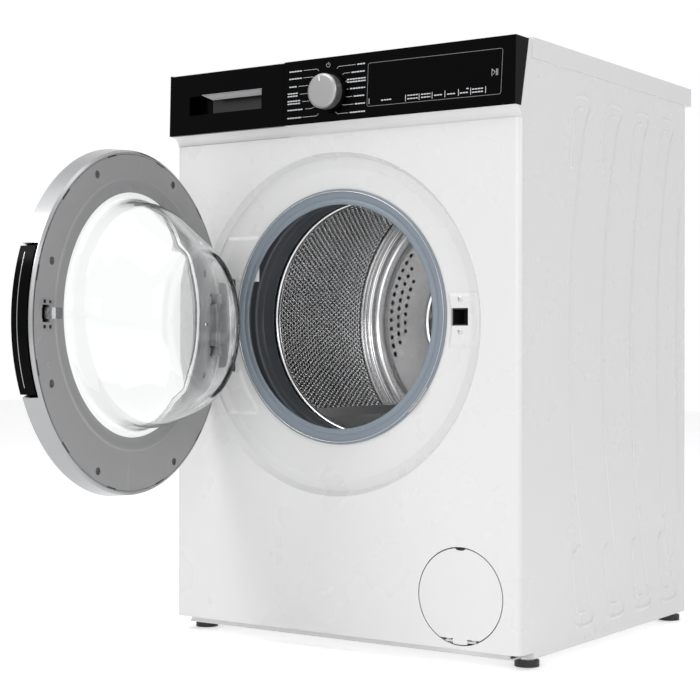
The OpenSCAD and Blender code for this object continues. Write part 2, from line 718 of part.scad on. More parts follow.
module door_ring() door_pose() color("silver") {
    difference() {
        about_y(porthole_x, porthole_z) rotate_extrude() polygon([
            [ring_r - 3, door_in], [ring_r, door_in - 3], [ring_front_r, door_front + 2],
                [ring_front_r - 2, door_front],
            [192, door_front], [186, door_front + 5], [186, door_front + 16], [188.5, door_front + 16],
            [188.5, door_front + 6], [193, door_front + 2.5], [ring_r - 0.5, door_front + 2.5],
                [ring_r - 2.8, door_in - 4],
            [ring_r - 5.5, door_in - 4], [ring_r - 5.5, door_in]
        ]);
        ear_space();
        rim_sector(handle_a + 1.2, ring_r - handle_in - 2, ring_r + 20, door_front - 1, door_in - 4.2);
    }
    lever_lugs(lever_pin_r + run_gap);
}

// The grey moulding that clamps the glass and carries the latch and the hinge
module door_inner_frame() door_pose() color("gray") difference() {
    union() {
        about_y(porthole_x, porthole_z) rotate_extrude() polygon([
            [ring_r - 6, door_in], [ring_r - 6, door_in - 3], [190, door_in - 3], [190, door_front + 16.5],
            [187, door_front + 16.5], [187, door_in - 3], [150, door_in - 3], [150, door_in]
        ]);
        block([slot_x - 9, door_in - 12, slot_z - 19], [slot_x + 9, door_in - 3, slot_z - 13]);
        block([slot_x - 9, door_in - 12, slot_z + 13], [slot_x + 9, door_in - 3, slot_z + 19]);
    }
    rod_y(porthole_x, drum_z - 0.5, door_in - 4, door_in + 1, glass_r + 2);
    rod_y(porthole_x, drum_z - 0.5, door_in - 8, door_in - 2.8, glass_r + 12.3);
    ear_space();
    rim_sector(handle_a + 1.2, ring_r - handle_in - 2, ring_r + 20, door_front - 1, door_in - 2.8);
    block([slot_x - 7, door_in - 5, slot_z - 11], [slot_x + 9, door_in + 1, slot_z + 11]);
    translate([slot_x, door_in - 8, slot_z - 25]) cylinder(h = 50, r = 2.5);
    block([hinge_at[0] - 12, door_in - 9, porthole_z - 33],
        [hinge_at[0] + 13, door_in - 2, porthole_z + 33]);
}

// A cone-shaped bowl of one wall, with a flange that the inner frame clamps
module door_glass() door_pose() color("lightcyan", 0.4) about_y(porthole_x, drum_z - 0.5, door_in - 3)
    difference() {
    rotate_extrude() polygon([
        [glass_r + 12, -4], [glass_r + 12, 0], [glass_r + 1.5, 0], [glass_r - 7, 4], [157, 7],
            [151, 41], [116, 95],
        [104, bowl_d - 1], [86, bowl_d + 2], [0, bowl_d + 3], [0, bowl_d + 3 - glass_t],
            [85, bowl_d + 2 - glass_t],
        [101, bowl_d - 1 - glass_t], [112, 92], [147, 39], [153, 7], [156, -4]
    ]);
}

arm_z = 31;

// Cast arm that is screwed to the inner frame, with two knuckles on the hinge pins
module door_hinge_arm() door_pose() color("dimgray") difference() {
    union() {
        block([hinge_at[0] + 4, hinge_at[1] - 4, porthole_z - arm_z],
            [hinge_at[0] + 27, hinge_at[1] + 5, porthole_z + arm_z]);
        for (s = [-1, 1]) translate([hinge_at[0], hinge_at[1], porthole_z + s * 24 - 7])
            cylinder(h = 14, r = pin_r + 3.6);
        for (s = [-1, 1]) rod_y(hinge_at[0] + 20, porthole_z + s * 20, hinge_at[1] + 4, door_in - 3, 5);
    }
    for (s = [-1, 1]) translate([hinge_at[0], hinge_at[1], porthole_z + s * 24 - 8])
        cylinder(h = 16, r = pin_r + run_gap);
    block([hinge_at[0] - 10, hinge_at[1] - 10, porthole_z - 16],
        [hinge_at[0] + 9, hinge_at[1] + 10, porthole_z + 16]);
}

// The sprung claw that goes into the lock
module door_latch_hook() door_pose() color("silver") {
    translate([slot_x, door_in - 8, slot_z - 22]) cylinder(h = 44, r = 2.5 - run_gap);
    difference() {
        union() {
            block([slot_x - 4, door_in - 12, slot_z - 7], [slot_x + 4, door_in + 22, slot_z + 7]);
            block([slot_x - 4, door_in + 16, slot_z - 7], [slot_x + 10, door_in + 22, slot_z + 7]);
        }
        block([slot_x - 5, door_in + 2, slot_z - 3], [slot_x + 11, door_in + 14, slot_z + 3]);
    }
}

// The curved grip on the door's rim, with its two pins
module door_handle() door_pose() color("black") {
    difference() {
        rim_sector(handle_a, ring_r - handle_in, ring_front_r, door_front, door_in - 5.4);
        rim_sector(handle_a - 3, ring_r - handle_in - 1, ring_r - 5, door_front + 5, door_in);
    }
    for (s = [-1, 1])
        translate([lever_at[0], lever_at[1], porthole_z + s * (handle_h - 1) - 13])
            cylinder(h = 26, r = lever_pin_r);
}

bracket_x = [hinge_at[0] + 13, hinge_at[0] + 34];

// Plate on the recess's floor, with two ears that reach forward to the hinge axis
module hinge_bracket() placed() color("dimgray") difference() {
    union() {
        block([bracket_x[0], recess_d - 3, porthole_z - 69], [bracket_x[1], recess_d, porthole_z + 69]);
        for (z = ear_z) translate([hinge_at[0], hinge_at[1], porthole_z + z - ear_h / 2]) {
            linear_extrude(height = ear_h) polygon([
                [-7, 3.5], [1, 20], [13, recess_d + hinge_y], [22, recess_d + hinge_y], [13.5, 16.8],
                    [7, -4]
            ]);
            cylinder(h = ear_h, r = pin_r + 3.6);
        }
    }
    translate([hinge_at[0], hinge_at[1], porthole_z - 80]) cylinder(h = 160, r = pin_r);
}

module hinge_pins() placed() color("silver") for (s = [-1, 1])
    translate([hinge_at[0], hinge_at[1], porthole_z + s * 32.5 - 17.5]) cylinder(h = 35, r = pin_r);

module door_lock() placed() color("black") difference() {
    block([slot_x - 16, recess_d + sheet, slot_z - 32], [slot_x + 22, recess_d + 45, slot_z + 32]);
    block([slot_x - 12, recess_d, slot_z - 10], [slot_x + 12.5, recess_d + 30, slot_z + 10]);
}

// ---- Gasket and tub ----

module gasket() placed() color("slategray") about_y(porthole_x, drum_z) rotate_extrude() polygon([
    [160.3, 12.9], [161.5, 12.2], [182.6, 12.2], [183.4, 13], [183.4, recess_d - 0.3],
    [porthole_r - 0.3, recess_d - 0.3], [porthole_r - 0.3, recess_d + sheet + 0.3],
    [182, recess_d + sheet + 0.3], [182, 20], [176.7, 20], [176.7, 24], [187, 24], [187, 50], [176, 50],
    [176, 62], [184, 62], [184, tub_front_y - 1], [180.3, tub_front_y - 1], [180.3, 66], [173, 66],
    [173, 47], [184, 47], [184, 27], [171, 27], [171, 15], [160.3, 15]
]);

// A wire ring in the gasket's front edge, and a band round its back collar
module gasket_clamps() placed() color("silver") {
    about_y(porthole_x, drum_z, 11.3) rotate_extrude() translate([179.5, 0]) circle(0.6, $fn = 24);
    tube_y(porthole_x, drum_z, 68, 76, 185.5, 184.3);
}

module tub_wall(y0, y1) tube_y(porthole_x, drum_z, y0, y1, tub_r + tub_t, tub_r);

// The collar that the two tub halves are screwed together by
module tub_flange(y0, y1) difference() {
    tube_y(porthole_x, drum_z, y0, y1, tub_r + tub_t + 9, tub_r);
    for (a = [15 : 30 : 345])
        translate([porthole_x, 0, drum_z]) rotate([0, a, 0])
            rod_y(tub_r + tub_t + 5, 0, y0 - 1, y1 + 1, 2.5);
}

module tub_front() placed() color("lightgray") difference() {
    union() {
        tub_wall(tub_front_y, tub_seam_y);
        tube_y(porthole_x, drum_z, 67, tub_front_y + 1, 180, 176);
        tube_y(porthole_x, drum_z, tub_front_y, tub_front_y + tub_t, tub_r + 1, 176);
        tub_flange(tub_seam_y - 6, tub_seam_y);
        tub_lugs(spring_y[0]);
    }
    translate([tray_x, fill_y, drum_z]) cylinder(h = tub_r + 50, r = 14);
    translate([sump_x, sump_y, 0]) cylinder(h = drum_z - tub_r + 30, r = 11);
}

// A plate on each side of the tub, with the pin that a spring's lower eye hangs on
module tub_lugs(y) for (s = [-1, 1]) translate([porthole_x, 0, drum_z]) mirror([s < 0 ? 1 : 0, 0, 0]) {
    rotate([0, -atan2(spring_low, spring_x), 0])
        block([tub_r + 1, y + 2.5, -3.5], [norm([spring_x, spring_low]) + 4, y + 4.5, 3.5]);
    rod_y(spring_x, spring_low, y - 2, y + 4.5, hook_r);
}

motor_lug_x = motor_r + 4;
motor_lug_z = motor_z + 24;
motor_ends = [pulley_y - 120, pulley_y - 30];   // y of the two pairs of plates that hold the motor's lugs

module motor_hangers() for (s = [-1, 1], y = motor_ends)
    translate([motor_x + s * motor_lug_x, 0, 0])
        block([-5, y, motor_lug_z - 9], [5, y + 10,
            s < 0 ? drum_z - tub_r - trough_drop + 1 : drum_z - tub_r * 0.6]);

module damper_lugs() for (s = [-1, 1], y = [-1, 1])
    translate([s * damper_top[0], damper_y + y * 11, damper_top[1]]) difference() {
        block([-8, -2, -9], [8, 2, 30]);
        rod_y(0, 0, -3, 3, damper_pin_r);
    }

trough_w = 150;
trough_drop = 34;

module tub_rear() placed() color("lightgray") difference() {
    union() {
        tub_wall(tub_seam_y, tub_back_y);
        tub_flange(tub_seam_y, tub_seam_y + 6);
        rod_y(porthole_x, drum_z, tub_back_y, tub_back_y + 6, tub_r + tub_t);
        rod_y(porthole_x, drum_z, tub_back_y + 6 - eps, tub_back_y + 6 + hub_len - 6, bearing_r + 9);
        for (a = [0 : 30 : 330]) translate([porthole_x, 0, drum_z]) rotate([0, a, 0])
            block([bearing_r + 5, tub_back_y + 6 - eps, -2], [tub_r - 5, tub_back_y + 20, 2]);
        difference() {
            union() {
                block([porthole_x - trough_w / 2, tub_seam_y + 8, drum_z - tub_r - trough_drop],
                    [porthole_x + trough_w / 2, tub_back_y + 6, drum_z - tub_r * 0.9]);
                motor_hangers();
                damper_lugs();
            }
            rod_y(porthole_x, drum_z, tub_seam_y, tub_back_y, tub_r + 1);
        }
        tub_lugs(spring_y[1]);
    }
    block([porthole_x - trough_w / 2 + 4, tub_seam_y + 12, drum_z - tub_r - trough_drop + 4],
        [porthole_x + trough_w / 2 - 4, tub_back_y, drum_z - tub_r * 0.88]);
    rod_y(porthole_x, drum_z, tub_back_y - 1, tub_back_y + 70, shaft_r + 4);
    rod_y(porthole_x, drum_z, tub_back_y - 1, tub_back_y + 6 + bearing_t, bearing_r);
    rod_y(porthole_x, drum_z, tub_back_y + hub_len - rear_bearing_t, tub_back_y + 70, rear_bearing_r);
    rod_y(porthole_x + 25, drum_z - tub_r - trough_drop + 17, tub_back_y - 1, tub_back_y + 9, 11);
    rod_y(porthole_x - 25, drum_z - tub_r - trough_drop + 17, tub_back_y - 1, tub_back_y + 9, 11);
}

// ---- Drum ----

module drum_shell() placed() color("silver")
    tube_y(porthole_x, drum_z, drum_y + 4, drum_back_y, drum_r, drum_r - 1.5);

// Pressed front of the drum, rolled to a round lip at the mouth
module drum_front() placed() color("silver") about_y(porthole_x, drum_z, drum_y) rotate_extrude() polygon([
    [mouth_r, 0], [mouth_r + 2, -1], [mouth_r + 6, 0], [mouth_r + 14, 2], [drum_r, 2.5], [drum_r, 4],
        [mouth_r + 13, 3.8],
    [mouth_r + 5, 2], [mouth_r + 2, 6], [mouth_r, 6]
]);

// Plain middle, a raised ring towards the mouth, and a flat border that the shell is rolled to
module drum_back() placed() color("silver") about_y(porthole_x, drum_z, drum_back_y) rotate_extrude()
    polygon([
        [0, 0], [drum_r - 146, 0], [drum_r - 136, -7.5], [drum_r - 56, -7.5], [drum_r - 45, 0], [drum_r, 0],
        [drum_r, 1.5], [drum_r - 46, 1.5], [drum_r - 57, -6], [drum_r - 135, -6], [drum_r - 145, 1.5],
            [0, 1.5]
    ]);

lifter_w = 66;
lifter_top = 20;

module drum_lifters() placed() color("gainsboro") intersection() {
    for (a = [-80, 40, 160]) translate([porthole_x, drum_y + 12, drum_z]) rotate([-90, 0, 0])
        rotate([0, 0, a])
        linear_extrude(height = drum_d - 30) difference() {
            polygon([
                [-lifter_w / 2, drum_r - 8], [-lifter_top / 2, drum_r - lifter_h],
                    [lifter_top / 2, drum_r - lifter_h],
                [lifter_w / 2, drum_r - 8], [lifter_w / 2, drum_r], [-lifter_w / 2, drum_r]
            ]);
            polygon([
                [-lifter_w / 2 + 4, drum_r - 5], [-lifter_top / 2 + 1, drum_r - lifter_h + 3],
                [lifter_top / 2 - 1, drum_r - lifter_h + 3], [lifter_w / 2 - 4, drum_r - 5],
                [lifter_w / 2 - 4, drum_r + 1], [-lifter_w / 2 + 4, drum_r + 1]
            ]);
        }
    rod_y(porthole_x, drum_z, 0, cab_d, drum_r - 1.6);
}

// Cast three-armed spider with the drum's shaft pressed in
module drum_spider() placed() color("lightsteelblue") {
    difference() {
        union() {
            rod_y(porthole_x, drum_z, drum_back_y + 1.5, drum_back_y + 20, 38);
            for (a = [30, 150, 270]) translate([porthole_x, 0, drum_z]) rotate([0, a, 0])
                block([0, drum_back_y + 1.5, -15], [drum_r - 6, drum_back_y + 15, 15]);
        }
        rod_y(porthole_x, drum_z, drum_back_y, drum_back_y + 30, shaft_r);
    }
    rod_y(porthole_x, drum_z, drum_back_y + 1.5, tub_back_y + 6 + bearing_t + 2, shaft_r);
    rod_y(porthole_x, drum_z, tub_back_y + 6 + bearing_t + 2, pulley_y + pulley_t + 6, shaft_end_r);
}

module drum_bearings() placed() color("silver") {
    tube_y(porthole_x, drum_z, tub_back_y + 6, tub_back_y + 6 + bearing_t, bearing_r, shaft_r + run_gap);
    tube_y(porthole_x, drum_z, tub_back_y + hub_len - rear_bearing_t, tub_back_y + hub_len,
        rear_bearing_r, shaft_end_r + run_gap);
}

module shaft_seal() placed() color("black")
    tube_y(porthole_x, drum_z, tub_back_y - 0.5, tub_back_y + 5.8, bearing_r, shaft_r + 0.3);

module drum_pulley() placed() color("darkgray") {
    tube_y(porthole_x, drum_z, pulley_y, pulley_y + pulley_t, pulley_r, pulley_r - 8);
    tube_y(porthole_x, drum_z, pulley_y, pulley_y + pulley_t, shaft_end_r + 12, shaft_end_r);
    for (a = [0 : 60 : 300]) translate([porthole_x, 0, drum_z]) rotate([0, a, 0])
        block([shaft_end_r + 10, pulley_y + 6, -9], [pulley_r - 6, pulley_y + 14, 9]);
}

// A flat loop: an arc round each pulley, with the straight runs between their tangent points
belt_to = [motor_x - porthole_x, motor_z - drum_z];
belt_lean = atan2(belt_to[1], belt_to[0]);
belt_side = acos((pulley_r - motor_pulley_r) / norm(belt_to));

function belt_line(g) = concat(
    [for (i = [0 : 60]) let (a = belt_lean + belt_side + (360 - 2 * belt_side) * i / 60)
        (pulley_r + g) * [cos(a), sin(a)]],
    [for (i = [0 : 12]) let (a = belt_lean - belt_side + 2 * belt_side * i / 12)
        belt_to + (motor_pulley_r + g) * [cos(a), sin(a)]]);

module drive_belt() placed() color("black") translate([porthole_x, pulley_y + 17, drum_z])
    rotate([90, 0, 0])
    difference() {
        linear_extrude(height = belt_w) polygon(belt_line(belt_gap + belt_t));
        translate([0, 0, -1]) linear_extrude(height = belt_w + 2) polygon(belt_line(belt_gap));
    }

module motor() placed() color("dimgray") difference() {
    union() {
        rod_y(motor_x, motor_z, pulley_y - 128, pulley_y - 8, motor_r);
        block([motor_x - motor_lug_x, motor_ends[0] + 10, motor_lug_z - 4],
            [motor_x + motor_lug_x, motor_ends[1], motor_lug_z + 4]);
        for (s = [-1, 1])
            rod_y(motor_x + s * motor_lug_x, motor_lug_z, motor_ends[0] + 10, motor_ends[1], 9);
    }
    rod_y(motor_x, motor_z, pulley_y - 120, pulley_y, 8 + run_gap);
}

module motor_pulley() placed() color("silver") {
    rod_y(motor_x, motor_z, pulley_y - 118, pulley_y, 8);
    rod_y(motor_x, motor_z, pulley_y - 2, pulley_y + pulley_t, motor_pulley_r);
}

// Concrete ballast: a half ring on the tub's front and a saddle on its top
module counterweights() placed() color("gray") {
    difference() {
        rod_y(porthole_x, drum_z, 42, tub_front_y - 0.3, tub_r - 2);
        rod_y(porthole_x, drum_z, 30, tub_front_y + 1, 200);
        block([-half_w, 0, drum_z - 300], [half_w, 200, drum_z - 20]);
        block([slot_x - 24, 30, slot_z - 40], [half_w, 65, slot_z + 40]);
    }
    difference() {
        block([porthole_x - 70, 268, drum_z + tub_r - 30], [porthole_x + 120, 420, control_z + 60]);
        rod_y(porthole_x, drum_z, 100, cab_d, tub_r + tub_t + 0.4);
    }
}

spring_x = tub_r + 18;
spring_y = [150, 400];
spring_low = 66;                                // height of the lower eyes above the drum's axis
spring_r = 9;

// Four hanging springs, drawn as closed sleeves with an eye at each end
module suspension_springs() placed() color("silver") for (s = [-1, 1], y = spring_y)
    translate([porthole_x + s * spring_x, y, drum_z]) {
        translate([0, 0, spring_low + 5]) cylinder(h = hook_z - drum_z - spring_low - 10, r = spring_r);
        for (z = [spring_low, hook_z - drum_z]) tube_y(0, z, -1.5, 1.5, 7, hook_r);
    }

damper_x = 150;
damper_y = 340;
damper_low_z = 62;
damper_lean = 18;
damper_len = 165;
damper_pin_r = 5;
damper_top = [damper_x - damper_len * sin(damper_lean), damper_low_z + damper_len * cos(damper_lean)];

// Two friction struts between the floor pan and the tub
module dampers() placed() color("black") for (s = [-1, 1]) {
    translate([s * damper_x, damper_y, damper_low_z]) rotate([0, -s * damper_lean, 0]) {
        translate([0, 0, 16]) cylinder(h = damper_len * 0.55, r = 12);
        translate([0, 0, 8]) cylinder(h = damper_len - 12, r = 5);
    }
    for (at = [[damper_x, damper_low_z], damper_top]) {
        rod_y(s * at[0], at[1], damper_y - 8.8, damper_y + 8.8, 9);
        rod_y(s * at[0], at[1], damper_y - 14, damper_y + 14, damper_pin_r);
    }
}

module heater() placed() color("silver") {
    for (s = [-1, 1])
        rod_y(porthole_x + s * 25, drum_z - tub_r - trough_drop + 17, tub_seam_y + 40, tub_back_y + 10, 4);
    translate([porthole_x - 25, tub_seam_y + 36.1, drum_z - tub_r - trough_drop + 17]) rotate([0, 90, 0])
        cylinder(h = 50, r = 4);
    for (s = [-1, 1])
        rod_y(porthole_x + s * 25, drum_z - tub_r - trough_drop + 17, tub_back_y + 1, tub_back_y + 9, 10.9);
}

// The inverter and its board in a closed box on the floor pan
module control_module() placed() color("dimgray")
    block([-half_w + 30, 200, underside + tray_t], [-half_w + 80, 330, underside + tray_t + 110]);

side_panel_left();
side_panel_right();
front_panel();
rear_panel();
rear_service_cover();
base_tray();
crossbars();
worktop();
worktop_trims();
control_panel();
fascia();
display_board();
programme_knob();
knob_cap();
drawer_front();
drawer_tray();
siphon_cap();
dispenser_housing();
inlet_valve();
internal_hoses();
filter_recess();
filter_cover();
pump_filter_cap();
drain_pump();
pump_impeller();
rear_outlets();
foot_front_left();
foot_front_right();
foot_rear_left();
foot_rear_right();
foot_locknuts();
door_ring();
door_inner_frame();
door_glass();
door_hinge_arm();
door_latch_hook();
door_handle();
hinge_bracket();
hinge_pins();
door_lock();
gasket();
gasket_clamps();
tub_front();
tub_rear();
drum_shell();
drum_front();
drum_back();
drum_lifters();
drum_spider();
drum_bearings();
shaft_seal();
drum_pulley();
drive_belt();
motor();
motor_pulley();
counterweights();
suspension_springs();
dampers();
heater();
control_module();
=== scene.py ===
import math

import bmesh
import bpy
import numpy as np
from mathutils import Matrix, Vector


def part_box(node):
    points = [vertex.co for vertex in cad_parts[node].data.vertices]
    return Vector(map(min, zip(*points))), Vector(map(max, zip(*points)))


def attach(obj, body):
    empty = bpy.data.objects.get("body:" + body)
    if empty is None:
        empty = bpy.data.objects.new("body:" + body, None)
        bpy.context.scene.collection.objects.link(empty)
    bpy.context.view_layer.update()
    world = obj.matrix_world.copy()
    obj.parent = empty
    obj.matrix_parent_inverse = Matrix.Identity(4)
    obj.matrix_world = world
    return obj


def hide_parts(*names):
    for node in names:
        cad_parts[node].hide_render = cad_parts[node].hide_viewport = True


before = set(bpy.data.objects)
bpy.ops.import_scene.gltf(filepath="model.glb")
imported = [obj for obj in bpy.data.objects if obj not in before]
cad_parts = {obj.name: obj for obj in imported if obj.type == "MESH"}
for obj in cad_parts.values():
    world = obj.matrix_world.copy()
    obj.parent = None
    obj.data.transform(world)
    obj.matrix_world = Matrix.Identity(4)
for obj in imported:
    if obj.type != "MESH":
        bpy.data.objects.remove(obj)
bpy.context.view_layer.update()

# ---- Floor pan, feet and locknuts ----
# Four black plastic feet screw into the floor pan's corner bosses from below, each locked by a
# bright steel nut. The pan is enamelled white with the side panels.

MM = 0.001
front_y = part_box("front_panel")[0].y / MM


def finish(name, color, roughness, metallic=0.0, grain=90.0, depth=0.0, vary=0.04, **sockets):
    """A shader of one colour. Fine noise in Object coordinates adds vary to the roughness, and lifts the
    surface by up to depth millimetres as a bump; other sockets are set by their names."""
    material = bpy.data.materials.new(name)
    material.use_nodes = True
    nodes, links = material.node_tree.nodes, material.node_tree.links
    shader = nodes["Principled BSDF"]
    shader.inputs["Base Color"].default_value = (*color, 1)
    shader.inputs["Metallic"].default_value = metallic
    for socket, value in sockets.items():
        shader.inputs[socket.replace("_", " ")].default_value = value
    place = nodes.new("ShaderNodeTexCoord")
    noise = nodes.new("ShaderNodeTexNoise")
    noise.inputs["Scale"].default_value = grain
    noise.inputs["Detail"].default_value = 3
    links.new(place.outputs["Object"], noise.inputs["Vector"])
    spread = nodes.new("ShaderNodeMapRange")
    spread.inputs["To Min"].default_value = max(roughness - vary, 0.01)
    spread.inputs["To Max"].default_value = roughness + vary
    links.new(noise.outputs["Fac"], spread.inputs["Value"])
    links.new(spread.outputs["Result"], shader.inputs["Roughness"])
    if depth:
        bump = nodes.new("ShaderNodeBump")
        bump.inputs["Distance"].default_value = depth * MM
        links.new(noise.outputs["Fac"], bump.inputs["Height"])
        links.new(bump.outputs["Normal"], shader.inputs["Normal"])
    return material


def dress(material, *names):
    """Gives CAD nodes one material."""
    for name in names:
        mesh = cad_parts[name].data
        mesh.materials.clear()
        mesh.materials.append(material)


black_matt = finish("black_matt", (0.012, 0.012, 0.013), 0.5, grain=600, depth=0.03)
dark_moulding = finish("dark_moulding", (0.05, 0.052, 0.055), 0.55, grain=500, depth=0.03)
zinc = finish("zinc", (0.62, 0.64, 0.66), 0.34, 1.0, grain=45, vary=0.1)
bright_steel = finish("bright_steel", (0.6, 0.6, 0.61), 0.22, 1.0, grain=150)
dress(black_matt, "foot_front_left", "foot_front_right", "foot_rear_left", "foot_rear_right")
dress(bright_steel, "foot_locknuts")

# ---- Side panels ----
# Folded steel sheets with white gloss enamel. Four long bowed ribs, a shorter one behind them, and
# a short hooked rib beside both ends of each long one are pressed outwards.

HALF_W = 298.5
white_enamel = finish("white_enamel", (0.7, 0.7, 0.702), 0.28, grain=12, vary=0.05, Coat_Weight=0.15)


def surface(name, points, faces, material, body, smooth=True, outwards=True):
    """A mesh from points in millimetres in the front panel's frame and a table of faces with equally many
    corners. Each point moves by the panel's own y and turns into metres, and the piece rides on its body."""
    place = (np.asarray(points, float).reshape(-1, 3) + (0, front_y, 0)) * MM
    faces = np.asarray(faces, np.int32)
    mesh = bpy.data.meshes.new(name)
    mesh.vertices.add(len(place))
    mesh.vertices.foreach_set("co", place.astype(np.float32).ravel())
    mesh.loops.add(faces.size)
    mesh.loops.foreach_set("vertex_index", faces.ravel())
    mesh.polygons.add(len(faces))
    mesh.polygons.foreach_set("loop_start", np.arange(0, faces.size, faces.shape[1], dtype=np.int32))
    mesh.polygons.foreach_set("use_smooth", np.full(len(faces), smooth))
    mesh.update(calc_edges=True)
    mesh.validate()
    if outwards:
        shape = bmesh.new()
        shape.from_mesh(mesh)
        bmesh.ops.recalc_face_normals(shape, faces=shape.faces)
        shape.to_mesh(mesh)
        shape.free()
    mesh.materials.append(material)
    piece = bpy.data.objects.new(name, mesh)
    bpy.context.scene.collection.objects.link(piece)
    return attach(piece, body)


def quads(rows, columns, wrap_rows=False, wrap_columns=False):
    """The faces of a grid of points: each point with its next neighbours along both ways. A way that wraps
    joins its last point to its first."""
    i = np.arange(rows if wrap_rows else rows - 1)[:, None]
    j = np.arange(columns if wrap_columns else columns - 1)[None, :]
    i2, j2 = (i + 1) % rows, (j + 1) % columns
    return np.stack([i * columns + j, i * columns + j2,
                     i2 * columns + j2, i2 * columns + j], -1).reshape(-1, 4)


def smoothed(corners, step):
    """A round line through corner points: the corners are cut twice at a quarter and three quarters of each
    side, and the line is then divided into equal steps."""
    line = np.asarray(corners, float)
    for _ in range(3):
        a, b = line[:-1], line[1:]
        cut = np.stack([0.75 * a + 0.25 * b, 0.25 * a + 0.75 * b], 1).reshape(-1, line.shape[1])
        line = np.vstack([line[:1], cut, line[-1:]])
    run = np.concatenate([[0], np.cumsum(np.linalg.norm(np.diff(line, axis=0), axis=1))])
    at = np.linspace(0, run[-1], max(int(run[-1] / step), 2))
    return np.stack([np.interp(at, run, line[:, k]) for k in range(line.shape[1])], -1)


def bead(line, width, height):
    """A pressed bead over a line in a plane: across the line, the height is half of one plus a cosine, so
    it runs out flat at both edges; it also runs out at the line's two ends. Gives (line point, height)."""
    along = np.gradient(line, axis=0)
    along /= np.linalg.norm(along, axis=1)[:, None]
    normal = np.stack([-along[:, 1], along[:, 0]], -1)
    across = np.linspace(-0.5, 0.5, 13)
    run = np.concatenate([[0], np.cumsum(np.linalg.norm(np.diff(line, axis=0), axis=1))])
    ends = np.clip(np.minimum(run, run[-1] - run) / width, 0, 1)
    ends = ends * ends * (3 - 2 * ends)
    rise = height * ends[:, None] * (0.5 + 0.5 * np.cos(2 * np.pi * across))[None, :]
    return line[:, None, :] + across[None, :, None] * width * normal[:, None, :], rise


def side_ribs(name, side):
    """All ribs of one side panel. A rib's outer edge bows towards the front by a parabola of the height and
    turns to the front at both ends; its inner edge is a loop beside each end, which hooks back."""
    points, faces, count = [], [], 0
    top_z, low_z, bow = 784, 37, 66
    middle, half = (top_z + low_z) / 2 + 22, (top_z - low_z) / 2
    lines = []
    for top_y in (208.5, 311, 405.5, 500):
        z = np.linspace(top_z - 34, low_z + 34, 24)
        y = top_y - bow * (1 - ((z - middle) / half) ** 2)
        low_y = top_y + 10
        upper_turn = [[top_y - 52, top_z - 2], [top_y - 34, top_z + 1.5], [top_y - 8, top_z],
                      [top_y, top_z - 12]]
        lower_turn = [[low_y, low_z + 16], [low_y - 6, low_z + 1], [low_y - 32, low_z], [low_y - 52, low_z],
                      [low_y - 62, low_z + 8]]
        lines.append((np.vstack([upper_turn, np.stack([y, z], -1), lower_turn]), 8.5))
        lines.append(([(top_y - 22, top_z - 17), (top_y - 40, top_z - 16), (top_y - 53, top_z - 24),
                       (top_y - 58, top_z - 60), (top_y - 67, top_z - 88), (top_y - 66, top_z - 100),
                       (top_y - 57, top_z - 104)], 6.0))
        lines.append(([(top_y - 18, low_z + 20), (top_y - 42, low_z + 19.5), (top_y - 48, low_z + 32),
                       (top_y - 54, low_z + 68), (top_y - 60, low_z + 98), (top_y - 56, low_z + 107),
                       (top_y - 46, low_z + 109)], 6.0))
    lines.append(([(522, 655), (514, 620), (510, 560), (509, 400), (514, 280), (520, 200), (522, 165)], 9.0))
    for line, width in lines:
        spots, rise = bead(smoothed(line, 3.5), width, 1.4)
        grid = np.concatenate([side * (HALF_W + 0.04 + rise)[..., None], spots], -1)
        faces.append(quads(*rise.shape) + count)
        points.append(grid.reshape(-1, 3))
        count += rise.size
    faces = np.vstack(faces)
    surface(name, np.vstack(points), faces if side > 0 else faces[:, ::-1], white_enamel,
            "cabinet", outwards=False)


dress(white_enamel, "side_panel_left", "side_panel_right", "base_tray")
side_ribs("side_ribs_right", 1)
side_ribs("side_ribs_left", -1)

# ---- Back, service cover and crossbars ----
# Zinc-plated sheet. The cover over the pulley is pressed and held by four screws.

dress(zinc, "rear_panel", "rear_service_cover", "crossbars")

# ---- Tub, springs, dampers and weights ----
# Two halves of light grey filled plastic, screwed together, hang on four springs and two dampers
# with cast weights on the front and on the top.

tub_plastic = finish("tub_plastic", (0.45, 0.46, 0.47), 0.5, grain=300, depth=0.05)
cast = finish("cast", (0.2, 0.2, 0.21), 0.65, grain=250, depth=0.25)
rough_cast = finish("rough_cast", (0.36, 0.35, 0.34), 0.8, grain=120, depth=0.5)
rubber = finish("rubber", (0.018, 0.018, 0.018), 0.6, grain=400, depth=0.04)
dress(tub_plastic, "tub_front", "tub_rear")
dress(rough_cast, "counterweights")
dress(bright_steel, "suspension_springs", "drum_bearings", "heater", "gasket_clamps")
dress(black_matt, "dampers")
dress(rubber, "shaft_seal", "drive_belt", "internal_hoses")

# ---- Drum wall ----
# Polished stainless sheet, rolled to a cylinder. Small holes lie 8 mm apart in staggered rows, and
# each is pushed outwards, so that the sheet between them stands up as little pillows.

PORT_X, DRUM_Z = -7.5, 474.3
DRUM_R, DRUM_Y0, DRUM_Y1 = 238.6, 100.0, 430.8
stainless = finish("stainless", (0.74, 0.74, 0.745), 0.16, 1.0, grain=35, vary=0.04)


